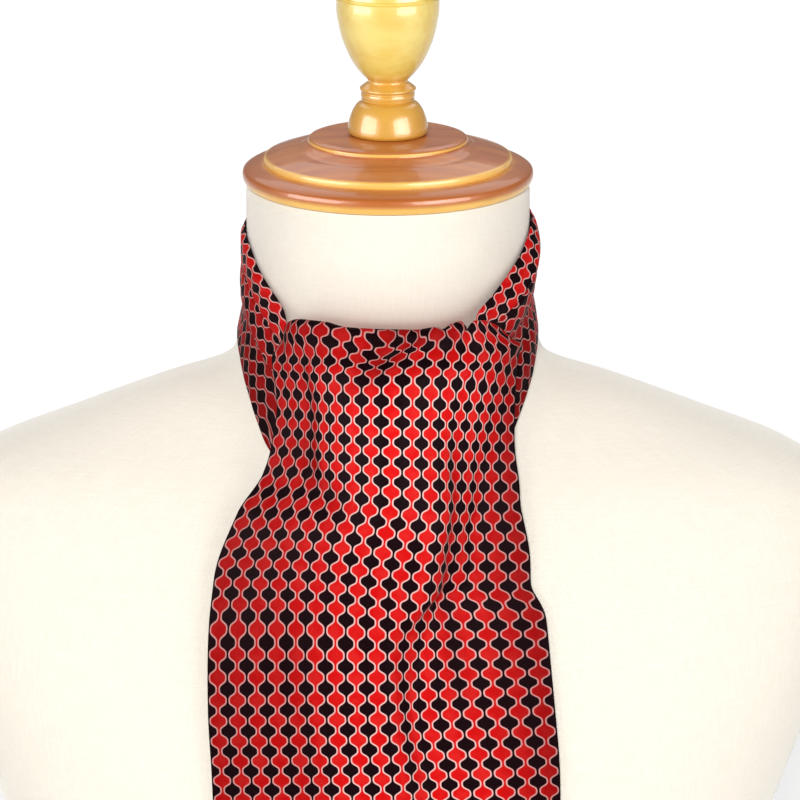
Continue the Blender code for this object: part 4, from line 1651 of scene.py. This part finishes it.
class StitchingOperator(bpy.types.Operator):
    """Sew the neckband's pleats down and tack their ends"""

    bl_idname = "cravat.stitching"
    bl_label = "Stitching"

    def execute(self, context):
        settings = context.scene.cravat_stitches
        thread = thread_material(settings)
        tree = stitch_tree()
        shared = {"Thread": settings.thread * MM, "Uneven": settings.uneven,
                  "Seed": settings.seed, "Material": thread}
        seams = stitched_mesh("neckband_seams", seam_lines(settings.thread), tree, {
            **shared, "Pitch": settings.pitch * MM, "Length": settings.length * MM,
            "Turn": 0.0})
        tacks = stitched_mesh("neckband_tacks", tack_lines(settings.thread), tree, {
            **shared, "Pitch": settings.tack_pitch * MM,
            "Length": settings.tack_width * MM, "Turn": settings.tack_turn})
        for mesh in (seams, tacks):
            if not mesh.polygons:
                raise RuntimeError(f"{mesh.name} came out empty")
            add_piece(mesh, thread)
        return {"FINISHED"}


class DressFormOperator(bpy.types.Operator):
    """Make the dress form's linen cover"""

    bl_idname = "cravat.dress_form"
    bl_label = "Dress form"

    def execute(self, context):
        settings = context.scene.cravat_form
        add_piece(form_mesh(), linen_material(settings), ["form_body"])
        return {"FINISHED"}


class TurnedWoodOperator(bpy.types.Operator):
    """Make the turned neck cap and its finial"""

    bl_idname = "cravat.turned_wood"
    bl_label = "Neck cap and finial"

    def execute(self, context):
        settings = context.scene.cravat_form
        cap = wood_material(settings, "cap", CAP_LACQUER, CAP_RINGS)
        finial = wood_material(settings, "finial", FINIAL_LACQUER, FINIAL_RINGS)
        add_piece(turned_mesh("neck_cap_wood", CAP_RUNS), cap, ["neck_cap"])
        add_piece(turned_mesh("finial_wood", FINIAL_RUNS), finial,
                  ["finial"])
        return {"FINISHED"}


class StageOperator(bpy.types.Operator):
    """Lay the floor, and set the lights and the camera"""

    bl_idname = "cravat.stage"
    bl_label = "Stage"

    def execute(self, context):
        settings = context.scene.cravat_stage
        add_floor(settings)
        add_lights(settings)
        add_camera()
        return {"FINISHED"}


def add_floor(settings):
    bm = bmesh.new()
    bmesh.ops.create_grid(bm, x_segments=1, y_segments=1, size=FLOOR_SIZE)
    mesh = bpy.data.meshes.new("floor")
    bm.to_mesh(mesh)
    bm.free()
    floor = bpy.data.objects.new("floor", mesh)
    bpy.context.scene.collection.objects.link(floor)
    shader = Shader("Pale floor", Roughness=0.9)
    uneven = shader.noise(shader.spot(), 3.0)
    shader.set("Base Color", shader.blend(uneven * 0.02, settings.floor, FLOOR_DIM))
    mesh.materials.append(shader.material)


def add_light(name, position, target, size, power):
    data = bpy.data.lights.new(name, "AREA")
    data.shape = "RECTANGLE"
    data.size, data.size_y = size
    data.energy = power
    light = bpy.data.objects.new(name, data)
    light.location = position
    direction = Vector(target) - Vector(position)
    light.rotation_euler = direction.to_track_quat("-Z", "Y").to_euler()
    bpy.context.scene.collection.objects.link(light)
    return light


def add_studio_light(strength):
    """Even light from far away, as from a large softbox."""
    data = bpy.data.lights.new("studio_light", "SUN")
    data.energy = strength
    data.angle = math.radians(STUDIO_SPREAD)
    light = bpy.data.objects.new("studio_light", data)
    light.rotation_euler = (math.radians(90 - STUDIO_HEIGHT), 0,
                            math.radians(STUDIO_BEARING))
    light.visible_glossy = False
    bpy.context.scene.collection.objects.link(light)


def add_lights(settings):
    add_studio_light(settings.studio)
    for name, position, share in SOFTBOXES:
        add_light(name, position, THROAT, SOFTBOX_SIZE, settings.key * share)
    for name, position in WINDOWS:
        window = add_light(name, position, CAP_FRONT, WINDOW_SIZE, settings.window)
        window.visible_diffuse = False
    add_light("floor_light", FLOOR_LIGHT_PLACE, FLOOR_LIGHT_AIM, FLOOR_LIGHT_SIZE,
              settings.floor_light)
    bpy.context.scene.view_settings.view_transform = "Standard"
    world = bpy.data.worlds.new("Surroundings")
    world.use_nodes = True
    background = world.node_tree.nodes["Background"]
    background.inputs["Color"].default_value = (1, 1, 1, 1)
    background.inputs["Strength"].default_value = settings.sky
    bpy.context.scene.world = world


def add_camera():
    """A camera straight ahead that looks down at the throat."""
    data = bpy.data.cameras.new("camera")
    data.sensor_width = CAMERA_SENSOR
    data.lens = CAMERA_LENS
    camera = bpy.data.objects.new("camera", data)
    pitch = math.radians(CAMERA_PITCH)
    target = Vector((CAMERA_AIM_X, 0, (CAP_UNDERSIDE - CAMERA_AIM_DROP) * MM))
    away = Vector((0, -math.cos(pitch), math.sin(pitch)))
    camera.location = target + CAMERA_DISTANCE * away
    camera.rotation_euler = (math.pi / 2 - pitch, 0, 0)
    bpy.context.scene.collection.objects.link(camera)
    bpy.context.scene.camera = camera


class CravatPanel(bpy.types.Panel):
    """Pieces of the cravat and its dress form"""

    bl_idname = "VIEW3D_PT_cravat"
    bl_label = "Cravat"
    bl_space_type = "VIEW_3D"
    bl_region_type = "UI"
    bl_category = "Cravat"

    def draw(self, context):
        layout = self.layout
        for operator in OPERATORS:
            layout.operator(operator.bl_idname)
        for group, _ in SETTINGS:
            settings = getattr(context.scene, group)
            box = layout.box()
            for name in settings.bl_rna.properties.keys():
                if name not in ("rna_type", "name"):
                    box.prop(settings, name)


OPERATORS = (
    DressFormOperator,
    TurnedWoodOperator,
    NeckbandOperator,
    BandsOperator,
    UnderBladeOperator,
    FrontBladeOperator,
    StitchingOperator,
    StageOperator,
)
SETTINGS = (
    ("cravat_silk", SilkSettings),
    ("cravat_stitches", StitchSettings),
    ("cravat_form", FormSettings),
    ("cravat_stage", StageSettings),
)


def register():
    for name, group in SETTINGS:
        bpy.utils.register_class(group)
        setattr(bpy.types.Scene, name, bpy.props.PointerProperty(type=group))
    for operator in OPERATORS:
        bpy.utils.register_class(operator)
    bpy.utils.register_class(CravatPanel)


def unregister():
    bpy.utils.unregister_class(CravatPanel)
    for operator in reversed(OPERATORS):
        bpy.utils.unregister_class(operator)
    for name, group in reversed(SETTINGS):
        delattr(bpy.types.Scene, name)
        bpy.utils.unregister_class(group)


def main():
    register()
    bpy.ops.cravat.dress_form()
    bpy.ops.cravat.turned_wood()
    bpy.ops.cravat.neckband()
    bpy.ops.cravat.bands()
    bpy.ops.cravat.under_blade()
    bpy.ops.cravat.front_blade()
    bpy.ops.cravat.stitching()
    bpy.ops.cravat.stage()


if __name__ == "__main__":
    main()
